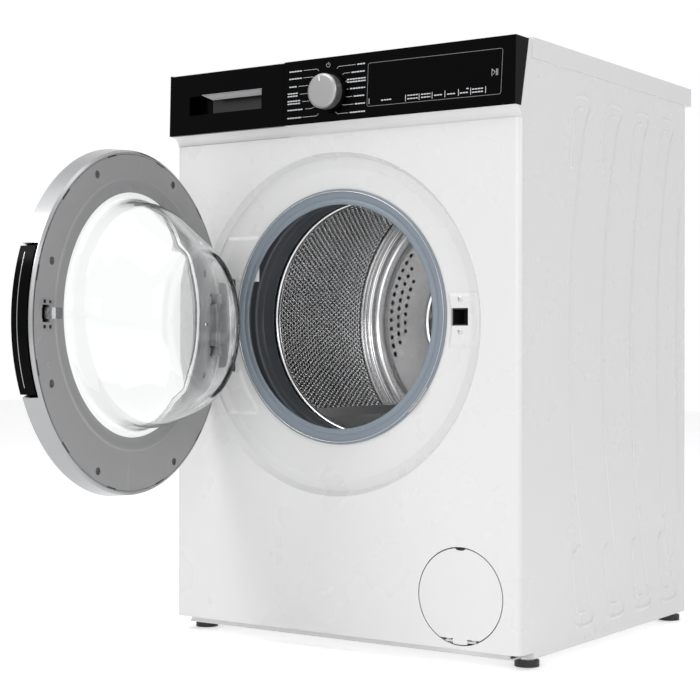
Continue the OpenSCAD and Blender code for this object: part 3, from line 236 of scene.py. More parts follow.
def drum_wall(name, start, columns, pitch, rows):
    """A part of the wall that holds columns holes of one angular pitch. Round every hole lie eight points on
    its edge and eight on a wider ring; eight more on the cell's border are shared with the cells around.
    Radius = drum radius + how far that ring of points is pushed outwards."""
    height = (DRUM_Y1 - DRUM_Y0) / rows
    line_i, line_k = np.meshgrid(np.arange(rows + 1), np.arange(2 * columns + 2), indexing="ij")
    mid_i, mid_j = np.meshgrid(np.arange(rows), np.arange(columns + 1), indexing="ij")
    flat = [np.stack([line_k * 0.5, line_i], -1).reshape(-1, 2),
            np.stack([mid_j + 0.5 * (mid_i % 2), mid_i + 0.5], -1).reshape(-1, 2)]
    push = [np.zeros(len(flat[0])), np.zeros(len(flat[1]))]
    i, j = (a.ravel() for a in np.meshgrid(np.arange(rows), np.arange(columns), indexing="ij"))
    left, wide, mids = 2 * j + i % 2, 2 * columns + 2, (rows + 1) * (2 * columns + 2)
    border = np.stack([i * wide + left, i * wide + left + 1, i * wide + left + 2,
                       mids + i * (columns + 1) + j + 1,
                       (i + 1) * wide + left + 2, (i + 1) * wide + left + 1, (i + 1) * wide + left,
                       mids + i * (columns + 1) + j], -1)
    middle = np.stack([j + 0.5 + 0.5 * (i % 2), i + 0.5], -1)
    turn = np.radians(np.array([225, 270, 315, 0, 45, 90, 135, 180]))
    rings, count = [], len(flat[0]) + len(flat[1])
    for radius, out in ((2.9, 0.55), (1.75, 1.15)):
        offset = radius * np.stack([np.cos(turn) / (math.radians(pitch) * DRUM_R), np.sin(turn) / height], -1)
        flat.append((middle[:, None, :] + offset[None]).reshape(-1, 2))
        push.append(np.full(8 * len(middle), out))
        rings.append(count + np.arange(8 * len(middle)).reshape(-1, 8))
        count += 8 * len(middle)
    flat, push = np.vstack(flat), np.concatenate(push)
    angle = np.radians(start + flat[:, 0] * pitch)
    points = np.stack([PORT_X + (DRUM_R + push) * np.cos(angle), DRUM_Y0 + flat[:, 1] * height,
                       DRUM_Z + (DRUM_R + push) * np.sin(angle)], -1)
    faces = []
    for outer, inner in ((border, rings[0]), (rings[0], rings[1])):
        faces.append(np.stack([outer, np.roll(outer, -1, 1),
                              np.roll(inner, -1, 1), inner], -1).reshape(-1, 4))
    return surface(name, points, np.vstack(faces)[:, ::-1], stainless, "drum", outwards=False)


walls = [drum_wall("drum_wall_%d" % (k + 1), 22 + 120 * k, 63, 120 / 63, 47) for k in range(3)]
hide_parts("drum_shell")

# ---- Drum back, front and lifters ----
# The back is pressed from stainless sheet: two beads near the wall, then a raised ring with three
# groups of holes. The front ends in a lip that is rolled round a wire. Three hollow lifters are
# riveted to the wall.


def revolved(profile, x, z, steps=240):
    """Turns a profile of (radius, y) about the line through x, z that runs to the back:
    a point lies at x + radius times cosine and z + radius times sine of the angle."""
    profile = np.asarray(profile, float)
    angle = np.linspace(0, 2 * np.pi, steps, endpoint=False)[:, None]
    return np.stack([x + profile[:, 0] * np.cos(angle), np.broadcast_to(profile[:, 1], (steps, len(profile))),
                     z + profile[:, 0] * np.sin(angle)], -1)


def rounded(profile, step=1.0):
    """A profile with its corners rounded, in equal steps."""
    return smoothed(profile, step)


BACK_Y = 431.0
brushed = finish("brushed_back", (0.78, 0.78, 0.785), 0.15, 1.0, grain=40, vary=0.05)
back_line = rounded([(2, 5), (60, 5), (92, 4), (96, 0), (104, -7.5), (112, -7.5), (150, -7.5),
                     (183, -7.5), (187, -6.5),
                     (195, 0), (197, 0.4), (206, 0.4), (209, -2.6), (215, -2.6), (218, 0.4),
                     (222, 0.4), (225, -3),
                     (231, -3), (234, -0.5), (237, -4), (238, -9)], 1.6)
grid = revolved(back_line + (0, BACK_Y), PORT_X, DRUM_Z, 288)
back = surface("drum_back_pressing", grid, quads(288, len(back_line), True)[:, ::-1], brushed,
               "drum", outwards=False)
thick = back.modifiers.new("sheet", "SOLIDIFY")
thick.thickness, thick.offset = 1.2 * MM, -1
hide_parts("drum_back")


def cutter(name, shapes, pose=None):
    """One hidden mesh of closed tubes that cut a piece. Each shape is (outline points, near y, far y), and a
    pose turns its points."""
    shape = bmesh.new()
    for outline, near, far in shapes:
        outline = np.asarray(outline, float)
        rims = np.stack([np.insert(outline, 1, y, axis=1) for y in (near, far)])
        rims = ((rims if pose is None else pose(rims)) + (0, front_y, 0)) * MM
        rims = [[shape.verts.new(p) for p in rim] for rim in rims]
        shape.faces.new(rims[0])
        shape.faces.new(rims[1][::-1])
        for k in range(len(outline)):
            n = (k + 1) % len(outline)
            shape.faces.new((rims[0][n], rims[0][k], rims[1][k], rims[1][n]))
    bmesh.ops.recalc_face_normals(shape, faces=shape.faces)
    mesh = bpy.data.meshes.new(name)
    shape.to_mesh(mesh)
    shape.free()
    piece = bpy.data.objects.new(name, mesh)
    bpy.context.scene.collection.objects.link(piece)
    piece.hide_render = piece.hide_viewport = True
    return piece


def circle(x, z, rx, rz=None, steps=20, tilt=0.0):
    """The outline of a circle or an ellipse round x, z: half axis times cosine and sine, turned by tilt."""
    a = np.linspace(0, 2 * np.pi, steps, endpoint=False)
    u, v = rx * np.cos(a), (rx if rz is None else rz) * np.sin(a)
    c, s = math.cos(math.radians(tilt)), math.sin(math.radians(tilt))
    return np.stack([x + c * u - s * v, z + s * u + c * v], -1)


def cut(piece, tool):
    """Takes a cutter's volume out of a piece with a live boolean."""
    boolean = piece.modifiers.new("cut", "BOOLEAN")
    boolean.operation, boolean.object, boolean.solver = "DIFFERENCE", tool, "EXACT"


groups = []
for sector in (49.3, 169.3, 289.3):
    for radius, number, pitch in ((175.5, 13, 4.78), (161.2, 10, 5.1), (147.2, 7, 5.6)):
        for k in range(number):
            a = math.radians(sector + (k - (number - 1) / 2) * pitch)
            groups.append((circle(PORT_X + radius * math.cos(a), DRUM_Z + radius * math.sin(a), 3.1,
                                  steps=12),
                           BACK_Y - 20, BACK_Y + 8))
cut(back, cutter("drum_back_holes", groups))

lip = rounded([(170, 6.5), (169.2, 3), (170, 0), (172.5, -1.2), (175.5, 0), (177, 2.2), (186, 3.2),
               (206, 4), (232, 4.4),
               (237.6, 5.5), (238.3, 9)], 1.0)
grid = revolved(lip + (0, 96), PORT_X, DRUM_Z)
mouth = surface("drum_mouth", grid, quads(240, len(lip), True)[:, ::-1], stainless, "drum", outwards=False)
thick = mouth.modifiers.new("sheet", "SOLIDIFY")
thick.thickness, thick.offset = 1.2 * MM, 0
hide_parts("drum_front")
lifter_steel = finish("lifter_steel", (0.72, 0.72, 0.725), 0.34, 1.0, grain=12, vary=0.03)
dress(lifter_steel, "drum_lifters")
aluminium = finish("aluminium", (0.55, 0.56, 0.58), 0.4, 1.0, grain=200, depth=0.06)
dress(aluminium, "drum_spider", "drum_pulley")

# ---- Motor, heater and electronics ----
# A dark cast motor under the tub drives the pulley through a flat belt. The electronics sit in a
# closed box on the floor pan.

dress(cast, "motor")
dress(bright_steel, "motor_pulley")
dress(dark_moulding, "control_module", "drain_pump", "rear_outlets")

# ---- Gasket ----
# Blue-grey rubber bellows between the tub's collar and the front panel, with a soft lip that the
# door's glass seals on. A wire with a short coil spring holds it in the panel.

gasket_rubber = finish("gasket_rubber", (0.2, 0.235, 0.275), 0.42, grain=260, depth=0.03)
gasket_line = rounded([(171.2, 27), (170.6, 20), (169.6, 16.2), (165.5, 15.0), (161.2, 14.9), (160.4, 13.7),
                       (161.3, 12.7),
                       (164.5, 12.6), (167.2, 13.3), (168.6, 14.6), (170.2, 13.4), (172.5, 12.3),
                       (176.5, 12.1),
                       (180.6, 12.2), (182.6, 12.6), (183.3, 13.6), (183.2, 14.7), (177.4, 14.75)], 0.7)
grid = revolved(gasket_line, PORT_X, DRUM_Z, 300)
surface("gasket_lip", grid, quads(300, len(gasket_line), True), gasket_rubber, "cabinet",
        outwards=False)
bellows = rounded([(171.2, 27), (172.5, 28.4), (183.6, 28.6), (185.4, 33), (185.4, 42),
                   (183.6, 46.4), (176, 47),
                   (173.4, 48.5), (172.6, 56), (173.2, 63), (175, 66), (180.6, 67), (180.9, 79)], 0.9)
grid = revolved(bellows, PORT_X, DRUM_Z, 240)
# The bellows take a much darker copy of the lip's blue-grey rubber: painted shade inside the fold.
gasket_painted_shade = finish("gasket_painted_shade", (0.07, 0.079, 0.09), 0.4, grain=260, depth=0.03)
fold = surface("gasket_bellows", grid, quads(240, len(bellows), True), gasket_painted_shade,
               "cabinet", outwards=False)
thick = fold.modifiers.new("rubber", "SOLIDIFY")
thick.thickness, thick.offset = 1.4 * MM, -1
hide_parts("gasket")
# The sleeve takes the same darker rubber, painted shade.
sleeve = rounded([(173.2, 58), (174.6, 62), (174.2, 74), (173.2, 84), (172.6, 90), (174, 92)], 0.9)
grid = revolved(sleeve, PORT_X, DRUM_Z, 240)
surface("gasket_sleeve", grid, quads(240, len(sleeve), True), gasket_painted_shade, "cabinet", outwards=False)


def tube(name, line, radius, material, body, around=12, closed=False):
    """A round wire along a line. Two directions square to the line carry cosine and sine times the radius;
    the first is square to the line and to the line's mean turn."""
    line = np.asarray(line, float)
    along = np.gradient(line, axis=0)
    along /= np.linalg.norm(along, axis=1)[:, None]
    guide = np.array([0.31, 0.9, 0.27])
    side = np.cross(along, guide)
    side /= np.linalg.norm(side, axis=1)[:, None]
    up = np.cross(side, along)
    a = np.linspace(0, 2 * np.pi, around, endpoint=False)
    ring = np.cos(a)[None, :, None] * side[:, None] + np.sin(a)[None, :, None] * up[:, None]
    return surface(name, line[:, None] + radius * ring, quads(len(line), around, closed, True),
                   material, body)


turns = np.linspace(0, 1, 700)
a = np.radians(-33 - 14 * turns)
coil = np.stack([PORT_X + 182.2 * np.cos(a), np.full(700, 11.6), DRUM_Z + 182.2 * np.sin(a)], -1)
twist = turns * 2 * np.pi * 38
coil += 1.1 * np.stack([np.cos(twist) * np.cos(a), np.sin(twist), np.cos(twist) * np.sin(a)], -1)
tube("gasket_clamp_spring", coil, 0.42, bright_steel, "cabinet", 6)

# ---- Front panel, door lock and hinge bracket ----
# Folded white sheet with a round recess for the door. Flat lands stand up in the recess round the
# lock and behind the hinge. The lock is a black box behind its slot, and the bracket is cast.

dress(white_enamel, "front_panel")
dress(black_matt, "door_lock")
hinge_cast = finish("hinge_cast", (0.09, 0.095, 0.1), 0.32, 0.9, grain=180, depth=0.08)
dress(hinge_cast, "hinge_bracket", "door_hinge_arm")
dress(bright_steel, "hinge_pins")
PORT_Z = 463.3


def land(name, x, z, rise, slot=None):
    """A flat land over the recess's floor between two x and two z. Its height falls to nothing towards its
    border and the recess's wall by a smooth step of the distance to them; faces in the slot are left out."""
    columns, rows = (np.arange(a, b + 0.1, 1.5) for a, b in (x, z))
    if slot is not None:
        columns, rows = np.union1d(columns, slot[0]), np.union1d(rows, slot[1])
    across, up = np.meshgrid(columns, rows)
    radius = np.hypot(across - PORT_X, up - PORT_Z)
    edge = np.minimum(np.minimum(across - x[0], x[1] - across), np.minimum(up - z[0], z[1] - up))
    t = np.clip(np.minimum(edge / 6, np.minimum(238.5 - radius, radius - 188) / 5), 0, 1)
    dish = np.clip((radius - 223.5) / (238.9 - 223.5), 0, 1) * 5
    grid = np.stack([across, 14.96 - dish - rise * t * t * (3 - 2 * t), up], -1)
    faces = quads(*across.shape)
    middle = grid.reshape(-1, 3)[faces].mean(1)
    keep = np.hypot(middle[:, 0] - PORT_X, middle[:, 2] - PORT_Z) < 238
    if slot is not None:
        keep &= (np.abs(middle[:, 0] - np.mean(slot[0])) > np.ptp(slot[0]) / 2) | (
            np.abs(middle[:, 2] - np.mean(slot[1])) > np.ptp(slot[1]) / 2)
    surface(name, grid, faces[keep], white_enamel, "cabinet", outwards=False)


land("lock_land", (176, 232), (430, 506), 2.6, ((184, 210.5), (460, 484)))
for name, z in (("hinge_land_low", (330, 398)), ("hinge_land_high", (528, 596))):
    land(name, (-222, -150), z, 2.2)
screw = rounded([(0.05, -1.1), (2.4, -1.0), (3.6, -0.6), (4.1, 0.4)], 0.3)
for name, x, z in (("lock_screw", 198.0, 452.0), ("lock_screw_top", 198.0, 496.0)):
    grid = revolved(screw + (0, 12.2), x, z, 28)
    surface(name, grid, quads(28, len(screw), True), bright_steel, "cabinet", outwards=False)

# ---- Filter, pump and hoses ----
# A white cup behind a round cover with a finger notch. In it is the grey screw cap of the pump.

grey_plastic = finish("grey_plastic", (0.36, 0.36, 0.365), 0.42, grain=350, depth=0.03)
white_plastic = finish("white_plastic", (0.7, 0.7, 0.702), 0.3, grain=300, depth=0.01)
dress(white_plastic, "filter_recess", "filter_cover", "pump_impeller", "inlet_valve", "dispenser_housing")
dress(grey_plastic, "pump_filter_cap")
cut(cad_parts["filter_cover"], cutter("finger_notch", [(circle(206, 158.4, 8.5, 3.2), -3, 8)]))

# ---- Worktop ----
# A white laminate board in an edging of white mouldings.

laminate = finish("laminate", (0.74, 0.74, 0.742), 0.4, grain=500, depth=0.02)
dress(laminate, "worktop")
dress(white_plastic, "worktop_trims")

# ---- Control panel and fascia ----
# A white moulding with a hollow lip carries a black gloss fascia. The printing on it is fine light
# grey: lines from the knob to short marks, and a thin frame round the display.

black_gloss = finish("black_gloss", (0.001, 0.001, 0.0011), 0.16, grain=20, vary=0.02,
                     Specular_IOR_Level=0.04)
board = finish("board", (0.02, 0.09, 0.04), 0.5)
print_grey = finish("print_grey", (0.55, 0.56, 0.58), 0.5)
print_dim = finish("print_dim", (0.2, 0.2, 0.21), 0.4)
dress(white_plastic, "control_panel")
dress(black_gloss, "fascia")
dress(board, "display_board")
FASCIA_LOW, FASCIA_OUT, FASCIA_LEAN = 750.1, 16.5, 2.5 / 91.9
KNOB_X, KNOB_Z = 1.0, 791.0


def printed(name, strokes, width, material, body):
    """Flat strokes on the fascia: each line gets half its width to both sides, in the fascia's plane, which
    leans back by a fixed share of the height. They stand 0.12 mm proud."""
    points, faces, count = [], [], 0
    for stroke in strokes:
        line = np.asarray(stroke, float)
        along = np.gradient(line, axis=0)
        along /= np.linalg.norm(along, axis=1)[:, None]
        normal = np.stack([-along[:, 1], along[:, 0]], -1) * width / 2
        flat = np.stack([line - normal, line + normal], 1)
        y = -FASCIA_OUT + (flat[..., 1] - FASCIA_LOW) * FASCIA_LEAN - 0.12
        points.append(np.stack([flat[..., 0], y, flat[..., 1]], -1).reshape(-1, 3))
        faces.append(quads(len(line), 2) + count)
        count += 2 * len(line)
    return surface(name, np.vstack(points), np.vstack(faces)[:, ::-1], material, body, False, outwards=False)


def ring_line(x, z, r, start=0.0, end=360.0, steps=40):
    """Points on an arc."""
    a = np.radians(np.linspace(start, end, steps))
    return np.stack([x + r * np.cos(a), z + r * np.sin(a)], -1)


leaders, words = [], []
rows = (827, 816.5, 805, 793.5, 782.5, 771.5, 760)
left = ((-72.5, -50, -20), (-72.5, -50, -28), (-72.5, -58, -37), (-75, -55.5, -36),
        (-75, -51, -35), (-75, -46, -28), (-75, -50, -20))
right = ((46, 60.5, 11), (36.5, 60.5, 21), (29, 60.5, 27), (34.5, 60, 28),
         (41, 60.5, 27), (43, 60, 20), (34.5, 60.5, 10))
for k, z in enumerate(rows):
    bend = (-3.0, -1.5, -0.6, 0, 0.6, 1.5, 3.0)[k]
    for (a, b, near), side in ((left[k], -1), (right[k], 1)):
        start, stop = (near, b + 2.5) if side < 0 else (near, a - 2.5)
        leaders.append([(start, z + bend), (start + side * 3, z), (stop, z)])
        for row in ((1.9, -1.9) if (k in (3, 4)) == (side < 0) and k in (2, 3, 4) else (0,)):
            for part in np.arange(a, b - 1.5, 4.6):
                words.append([(part, z + row), (min(part + 3.8, b), z + row)])
leaders.append(ring_line(-4, 831, 3.1, -235, 55))
leaders.append([(-4, 831), (-4, 835)])
printed("knob_lines", leaders, 0.5, print_grey, "cabinet")
printed("knob_words", words, 1.7, print_grey, "cabinet")
frame_line = np.vstack([ring_line(x, z, 3, a, a + 90, 8) for x, z, a in (
    (276, 822.5, 0), (67.5, 823.5, 90), (66.5, 769, 180), (274, 768, 270))] + [[(279, 822.5)]])
printed("display_frame", [frame_line], 0.6, print_dim, "cabinet")
keys = [[(x, 768), (x, 777)] for x in (127.3, 149.3, 170.2, 190.5, 211.8, 230.7, 253.7)]
printed("display_ticks", keys + [[(66.9, 769.3), (66.9, 776.9)]], 0.9, print_grey, "cabinet")
labels = []
for a, b, heights in ((87, 106, (772.8,)), (130.4, 147, (775.6, 771)), (152.4, 167.5, (775.2, 771)),
                      (173.4, 186.2, (772,)),
                      (194, 208.4, (771.8,)), (214, 227.5, (771.5,)), (232.8, 251.5, (775, 770.8)),
                      (224, 229, (776.6,))):
    for z in heights:
        for part in np.arange(a, b - 1.5, 4.4):
            labels.append([(part, z), (min(part + 3.6, b), z)])
printed("display_labels", labels, 1.5, print_grey, "cabinet")
play = [[(263, 799.5), (263, 790), (268, 794.8), (263, 799.5)],
        [(269.6, 799), (269.6, 790.4)], [(271.8, 799), (271.8, 790.4)]]
printed("play_mark", play, 0.7, print_grey, "cabinet")

# ---- Programme knob ----
# A black stepped ring and a silver cap with a turned chamfer and a pointer groove.

dress(black_gloss, "programme_knob")
silver = finish("silver", (0.36, 0.36, 0.365), 0.34, 0.85, grain=700, depth=0.02)
knob_base = -17.0
cap = rounded([(0.05, -22.3), (20.5, -22.3), (22.6, -22.0), (24.2, -20.6), (25, -18.6), (25, -9), (25, -5.2),
               (23.4, -5.0)], 0.5)
grid = revolved(cap + (0, knob_base), KNOB_X, KNOB_Z, 160)
knob = surface("knob_cap_turned", grid, quads(160, len(cap), True), silver, "knob", outwards=False)
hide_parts("knob_cap")
steps_line = rounded([(23.5, -5), (26, -5), (26.4, -4.6), (26.4, -3.2), (27.6, -3),
                      (28, -2.6), (28, -0.2)], 0.25)
grid = revolved(steps_line + (0, knob_base), KNOB_X, KNOB_Z, 160)
surface("knob_ring", grid, quads(160, len(steps_line), True), black_gloss, "knob", outwards=False)
mark = finish("pointer", (0.85, 0.85, 0.85), 0.4)
a = math.radians(100)
ends = [np.array([KNOB_X + r * math.cos(a), knob_base - 22.45, KNOB_Z + r * math.sin(a)])
        for r in (14.0, 21.5)]
w = np.array([-math.sin(a), 0, math.cos(a)]) * 0.9
surface("knob_pointer", [ends[0] - w, ends[1] - w, ends[1] + w, ends[0] + w], [[0, 1, 2, 3]],
        mark, "knob", False)

# ---- Detergent drawer ----
# Its black front continues the fascia, and a long pocket in it is the grip. The tray is light grey
# plastic with a blue siphon cap.

dress(black_gloss, "drawer_front")
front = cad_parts["drawer_front"].data
front.materials.append(white_plastic)
middle = np.empty(3 * len(front.polygons))
front.polygons.foreach_get("center", middle)
front.polygons.foreach_set("material_index", (middle[2::3] < (FASCIA_LOW - 0.3) * MM).astype(np.int32))
# The grip's bevel is a light grey strip on the black gloss front: a painted highlight along the pocket's
# upper edge.
grip_painted_highlight = finish("grip_painted_highlight", (0.3, 0.3, 0.31), 0.3, grain=200)
bevel = [[(-236, -15.3, 807.8), (-122.6, -15.3, 807.8), (-122.6, -9, 800), (-220, -9, 800)],
         [(-236, -15.3, 808.4), (-122.6, -15.3, 808.4), (-122.6, -8.4, 800.6), (-219, -8.4, 800.6)]]
surface("grip_bevel", bevel, [[0, 1, 2, 3], [7, 6, 5, 4], [0, 4, 5, 1], [1, 5, 6, 2],
        [2, 6, 7, 3], [3, 7, 4, 0]], grip_painted_highlight,
        "drawer", False)
back_wall = finish("grip_wall", (0.012, 0.012, 0.013), 0.35)
surface("grip_back", [(-231, 5.4, 780), (-123.2, 5.4, 780), (-123.2, 5.4, 806), (-231, 5.4, 806)],
        [[0, 1, 2, 3]], back_wall,
        "drawer", False, outwards=False)
dress(tub_plastic, "drawer_tray")
blue_plastic = finish("blue_plastic", (0.03, 0.12, 0.45), 0.3)
dress(blue_plastic, "siphon_cap")

# ---- Door ring and inner frame ----
# The outer ring is plated in satin silver, and the frame behind it is grey plastic that clamps the
# glass. Round screw holes, clip slots, vents and the latch's plate are moulded into the frame.

DOOR_OPEN, HINGE_X, HINGE_Y = math.radians(81.3), -229.0, -8.0


def opened(points):
    """Turns points of the closed door about the hinge's upright line by the angle at which it stands open."""
    points = np.array(points, float)
    dx, dy = points[..., 0] - HINGE_X, points[..., 1] - HINGE_Y
    c, s = math.cos(DOOR_OPEN), math.sin(DOOR_OPEN)
    points[..., 0], points[..., 1] = HINGE_X + c * dx + s * dy, HINGE_Y - s * dx + c * dy
    return points


plated = finish("plated", (0.36, 0.363, 0.37), 0.24, 1.0, grain=15, vary=0.03)
frame_grey = finish("frame_grey", (0.29, 0.29, 0.295), 0.5, grain=420, depth=0.03)
dress(plated, "door_ring")
dress(frame_grey, "door_inner_frame")
step = rounded([(189.5, 10.52), (187.6, 10.55), (186.6, 11.6), (184, 11.9), (180.5, 11.4),
                (176, 10.6), (172, 10.2),
                (169.6, 9.2),
                (168.6, 7.6)], 0.6)
grid = opened(revolved(step, PORT_X, 474.6, 240))
surface("door_frame_step", grid, quads(240, len(step), True)[:, ::-1], frame_grey, "door", outwards=False)


def box_outline(x0, x1, z0, z1):
    """The four corners of a rectangle."""
    return [(x0, z0), (x1, z0), (x1, z1), (x0, z1)]


def sunk(name, shapes, deep, material, body):
    """Blind pockets: each outline's rim at the frame's face, its walls down to deep, and a floor drawn as a
    fan round its middle. The points are those of the closed door, opened at the end."""
    points, faces, count = [], [], 0
    for outline in shapes:
        outline = np.asarray(outline, float)
        n = len(outline)
        rims = [np.insert(outline, 1, y, axis=1) for y in (10.6, 10.5 - deep)]
        points += rims + [np.array([[*outline.mean(0)[:1], 10.5 - deep, outline.mean(0)[1]]])]
        i = np.arange(n)
        faces.append(np.stack([i, (i + 1) % n, (i + 1) % n + n, i + n], -1) + count)
        faces.append(np.stack([i + n, (i + 1) % n + n, np.full(n, 2 * n), np.full(n, 2 * n)], -1) + count)
        count += 2 * n + 1
    points, faces = opened(np.vstack(points)), np.vstack(faces)
    mesh = bpy.data.meshes.new(name)
    mesh.from_pydata(((points + (0, front_y, 0)) * MM).tolist(), [],
                     [[*dict.fromkeys(face)] for face in faces.tolist()])
    mesh.materials.append(material)
    piece = bpy.data.objects.new(name, mesh)
    bpy.context.scene.collection.objects.link(piece)
    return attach(piece, body)


def place(away, z):
    """A spot on the frame, from its distance from the door's middle away from the hinge."""
    return PORT_X + away, z


pits = [circle(*place(*at), 5.3, steps=24) for at in (
    (93.5, 658), (193, 539), (193, 383), (91, 265.5), (-93, 661), (-97, 267), (-186, 541), (-186, 385))]
slots = [box_outline(PORT_X + x, PORT_X + x + 5, z, z + 4.2) for x in (193.5, 205.5) for z in (453, 485)]
slots += [box_outline(PORT_X + x, PORT_X + x + 5.5, z, z + 3.4)
          for x in (-208,) for z in (415, 428, 494, 507)]
frame_tools = [(outline, 3.5, 14) for outline in pits + slots]
inner_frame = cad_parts["door_inner_frame"]
cut(inner_frame, cutter("frame_pits", frame_tools, opened))
inner_frame.modifiers.new("even_shading", "WEIGHTED_NORMAL").keep_sharp = True
sunk("frame_screw_holes", pits, 6.5, frame_grey, "door")
# The slot pockets have near black walls and floors on the grey frame: painted shade inside the openings.
slot_painted_shade = finish("slot_painted_shade", (0.02, 0.02, 0.021), 0.6)
sunk("frame_slots", slots, 4.0, slot_painted_shade, "door")


def raised(name, shapes, out, material, slope=0.5):
    """Low raised shapes on the frame: each outline's walls rise by out and lean in by slope, and the top is a
    fan round the outline's middle."""
    points, faces, count = [], [], 0
    for outline in shapes:
        outline = np.asarray(outline, float)
        n, core = len(outline), outline.mean(0)
        reach = np.linalg.norm(outline - core, axis=1)[:, None]
        top = core + (outline - core) * (1 - slope / reach)
        points += [np.insert(outline, 1, 10.45, axis=1), np.insert(top, 1, 10.5 + out, axis=1),
                   np.array([[core[0], 10.5 + out, core[1]]])]
        i = np.arange(n)
        faces += [[a, b, b + n, a + n] for a, b in zip(i + count, (i + 1) % n + count)]
        faces += [[a, b, count + 2 * n] for a, b in zip(i + n + count, (i + 1) % n + n + count)]
        count += 2 * n + 1
    mesh = bpy.data.meshes.new(name)
    place_m = (opened(np.vstack(points)) + (0, front_y, 0)) * MM
    mesh.from_pydata(place_m.tolist(), [], [[int(k) for k in face] for face in faces])
    mesh.materials.append(material)
    piece = bpy.data.objects.new(name, mesh)
    bpy.context.scene.collection.objects.link(piece)
    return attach(piece, "door")


raised("frame_cap", [circle(*place(197, 408), 5.6, steps=32)], 0.9, frame_grey, 1.2)
ticks = [box_outline(PORT_X + x - 0.9, PORT_X + x + 0.9, z - 6, z + 6)
         for x in (-5, 1, 7) for z in (653, 293)]
raised("frame_vents", ticks, 0.7, frame_grey, 0.5)
edge = [(PORT_X + 188, 450.5), (PORT_X + 222, 450.5), (PORT_X + 222, 490.5),
        (PORT_X + 188, 490.5), (PORT_X + 188, 450.5)]
rim_line = np.insert(smoothed(edge, 2), 1, 10.6, axis=1)
tube("latch_plate_edge", opened(rim_line), 0.45, frame_grey, "door", 8)
# The clip slots are flat near black strips on the frame's face: painted shade where the openings are.
clips = []
for middle in np.arange(15, 360, 30):
    for radius in (229.3, 231.2):
        clips.append(np.insert(ring_line(PORT_X, PORT_Z, radius, middle - 2.6, middle + 2.6, 10),
                               1, 10.72, axis=1))
clips = opened(np.stack(clips).reshape(12, 2, 10, 3))
clip_faces = np.vstack([quads(2, 10) + 20 * k for k in range(12)])
surface("frame_clip_slots", clips, clip_faces, slot_painted_shade, "door", False, outwards=False)

# ---- Door glass ----
# One pressed bowl of clear glass. Its side is a cone, and the end is a flatter dome whose middle
# lies lower than the rim's.

GLASS_Y = 7.5
clear = finish("clear_glass", (0.97, 0.985, 0.985), 0.02, vary=0.01, Transmission_Weight=1.0, IOR=1.5)
# The glass's colour turns from clear to near black towards grazing view: painted shade along the bowl's
# edges.
glass_nodes, glass_links = clear.node_tree.nodes, clear.node_tree.links
edge_on, painted_edge_shade = glass_nodes.new("ShaderNodeLayerWeight"), glass_nodes.new("ShaderNodeValToRGB")
edge_on.inputs["Blend"].default_value = 0.5
painted_edge_shade.color_ramp.elements[0].position, painted_edge_shade.color_ramp.elements[0].color = 0.62, (0.97, 0.98, 0.98, 1)
painted_edge_shade.color_ramp.elements[1].position, painted_edge_shade.color_ramp.elements[1].color = 0.93, (0.04, 0.045, 0.05, 1)
glass_links.new(edge_on.outputs["Facing"], painted_edge_shade.inputs["Fac"])
glass_links.new(painted_edge_shade.outputs["Color"], glass_nodes["Principled BSDF"].inputs["Base Color"])
outside = [(178, 0), (170, 0.2), (165.5, 1.4), (159, 4), (156, 12), (152, 38), (133, 68),
           (117, 94), (110, 104), (98, 111), (70, 114.5),
           (30, 116), (0.5, 116.2)]
inside = [(0.5, 112.2), (30, 112), (68, 110.5), (94, 107.2), (105.5, 100), (112.5, 91),
          (128.5, 66), (147.5, 37), (151.5, 12),
          (154, 3), (158.5, -3), (170, -4), (178, -4)]
glass_line = np.vstack([rounded(outside, 2.5), rounded(inside, 2.5)])
grid = revolved(glass_line + (0, GLASS_Y), PORT_X, 473.8, 200)
sink = np.clip((grid[..., 1] - GLASS_Y - 12) / 90, 0, 1)
grid[..., 2] -= 13 * sink * sink * (3 - 2 * sink)
glass = surface("door_bowl", opened(grid), quads(200, len(glass_line), True, True), clear, "door")
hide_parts("door_glass")

# ---- Handle, latch and hinge arm ----
# The grip is a black lever in the ring's rim with a thin bright line. The latch hook is steel.

dress(black_gloss, "door_handle")
dress(bright_steel, "door_latch_hook")
line = np.stack([np.insert(ring_line(PORT_X, PORT_Z, 238.9, -21, 21, 60), 1, y, axis=1)
                 for y in (-9.6, -8.6)])
surface("handle_line", opened(line), quads(2, 60), plated, "handle", False)

# ---- Floor, light and camera ----
# A pale floor and a white surround, with large soft lamps. The camera stands to the right of the
# front, level with the machine's middle.

pale = finish("pale_floor", (0.95, 0.95, 0.95), 0.5, grain=4,
              Emission_Color=(1, 1, 1, 1), Emission_Strength=0.4,
              Specular_IOR_Level=0.1)
floor_mesh = bpy.data.meshes.new("floor")
floor_mesh.from_pydata([(-9, -9, -0.0005), (9, -9, -0.0005), (9, 9, -0.0005), (-9, 9, -0.0005)],
                       [], [(0, 1, 2, 3)])
floor_mesh.materials.append(pale)
floor = bpy.data.objects.new("floor", floor_mesh)
bpy.context.scene.collection.objects.link(floor)

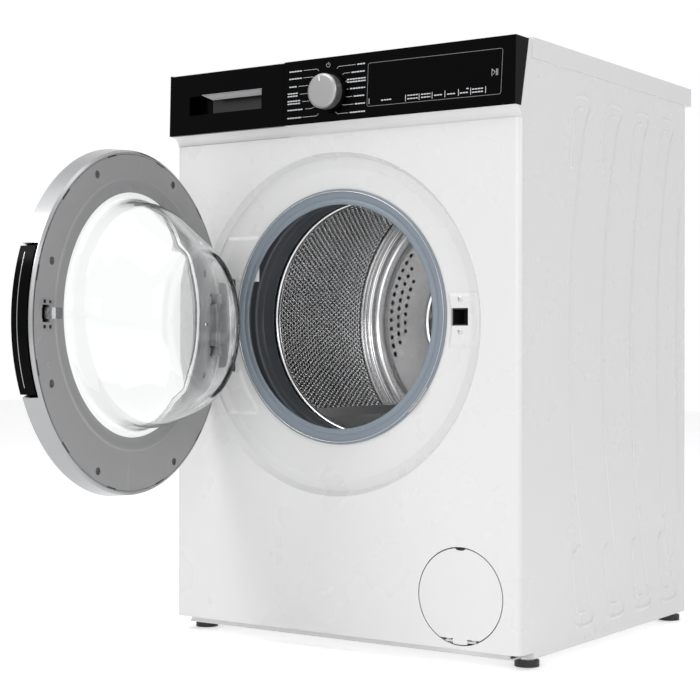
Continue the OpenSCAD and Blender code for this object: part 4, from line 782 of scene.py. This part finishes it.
world = bpy.data.worlds.new("surround")
world.use_nodes = True
sky_nodes, sky_links = world.node_tree.nodes, world.node_tree.links
sky_nodes["Background"].inputs["Color"].default_value = (1, 1, 1, 1)
path, strength = sky_nodes.new("ShaderNodeLightPath"), sky_nodes.new("ShaderNodeMapRange")
strength.inputs["To Min"].default_value, strength.inputs["To Max"].default_value = 1.0, 0.45
sky_links.new(path.outputs["Is Diffuse Ray"], strength.inputs["Value"])
sky_links.new(strength.outputs["Result"], sky_nodes["Background"].inputs["Strength"])
bpy.context.scene.world = world


def lamp(name, spot, target, size, power):
    """A square soft lamp at a spot, turned so that it shines at a target."""
    data = bpy.data.lights.new(name, "AREA")
    data.size, data.energy = size, power
    made = bpy.data.objects.new(name, data)
    bpy.context.scene.collection.objects.link(made)
    aim = np.array(target) - np.array(spot)
    made.location = spot
    made.rotation_euler = (math.atan2(math.hypot(aim[0], aim[1]), -aim[2]),
                           0, math.atan2(aim[1], aim[0]) - math.pi / 2)


lamp("key", (-1.2, -2.7, 3.0), (0, 0, 0.45), 1.6, 44)
lamp("fill", (3.4, -1.0, 1.8), (0, 0, 0.4), 2.0, 26)
lamp("top", (0.0, -0.5, 4.2), (0, 0.4, 0), 4.0, 60)
lamp("mouth", (0.9, -2.9, 0.9), (0.05, 0.2, 0.47), 0.7, 6)
flag = finish("black_flag", (0.003, 0.003, 0.003), 0.9)
for name, x0, y0, x1, y1, top in (("flag_left", -3.2, -2.6, -3.2, -0.8, 2.2),
                                  ("flag_right", 3.0, 0.6, 2.4, 2.4, 2.4)):
    card = bpy.data.meshes.new(name)
    card.from_pydata([(x0, y0, 0.0), (x1, y1, 0.0), (x1, y1, top), (x0, y0, top)], [], [(0, 1, 2, 3)])
    card.materials.append(flag)
    card = bpy.data.objects.new(name, card)
    bpy.context.scene.collection.objects.link(card)

camera = bpy.data.cameras.new("camera")
camera.lens, camera.sensor_width = 83.98, 36
eye = bpy.data.objects.new("camera", camera)
eye.location = (1.34025, (-1901.1 + front_y) * MM, 0.42534)
eye.rotation_euler = (math.radians(90.03), math.radians(-0.10), math.radians(34.69))
bpy.context.scene.collection.objects.link(eye)
bpy.context.scene.camera = eye
bpy.context.scene.view_settings.view_transform = "Standard"
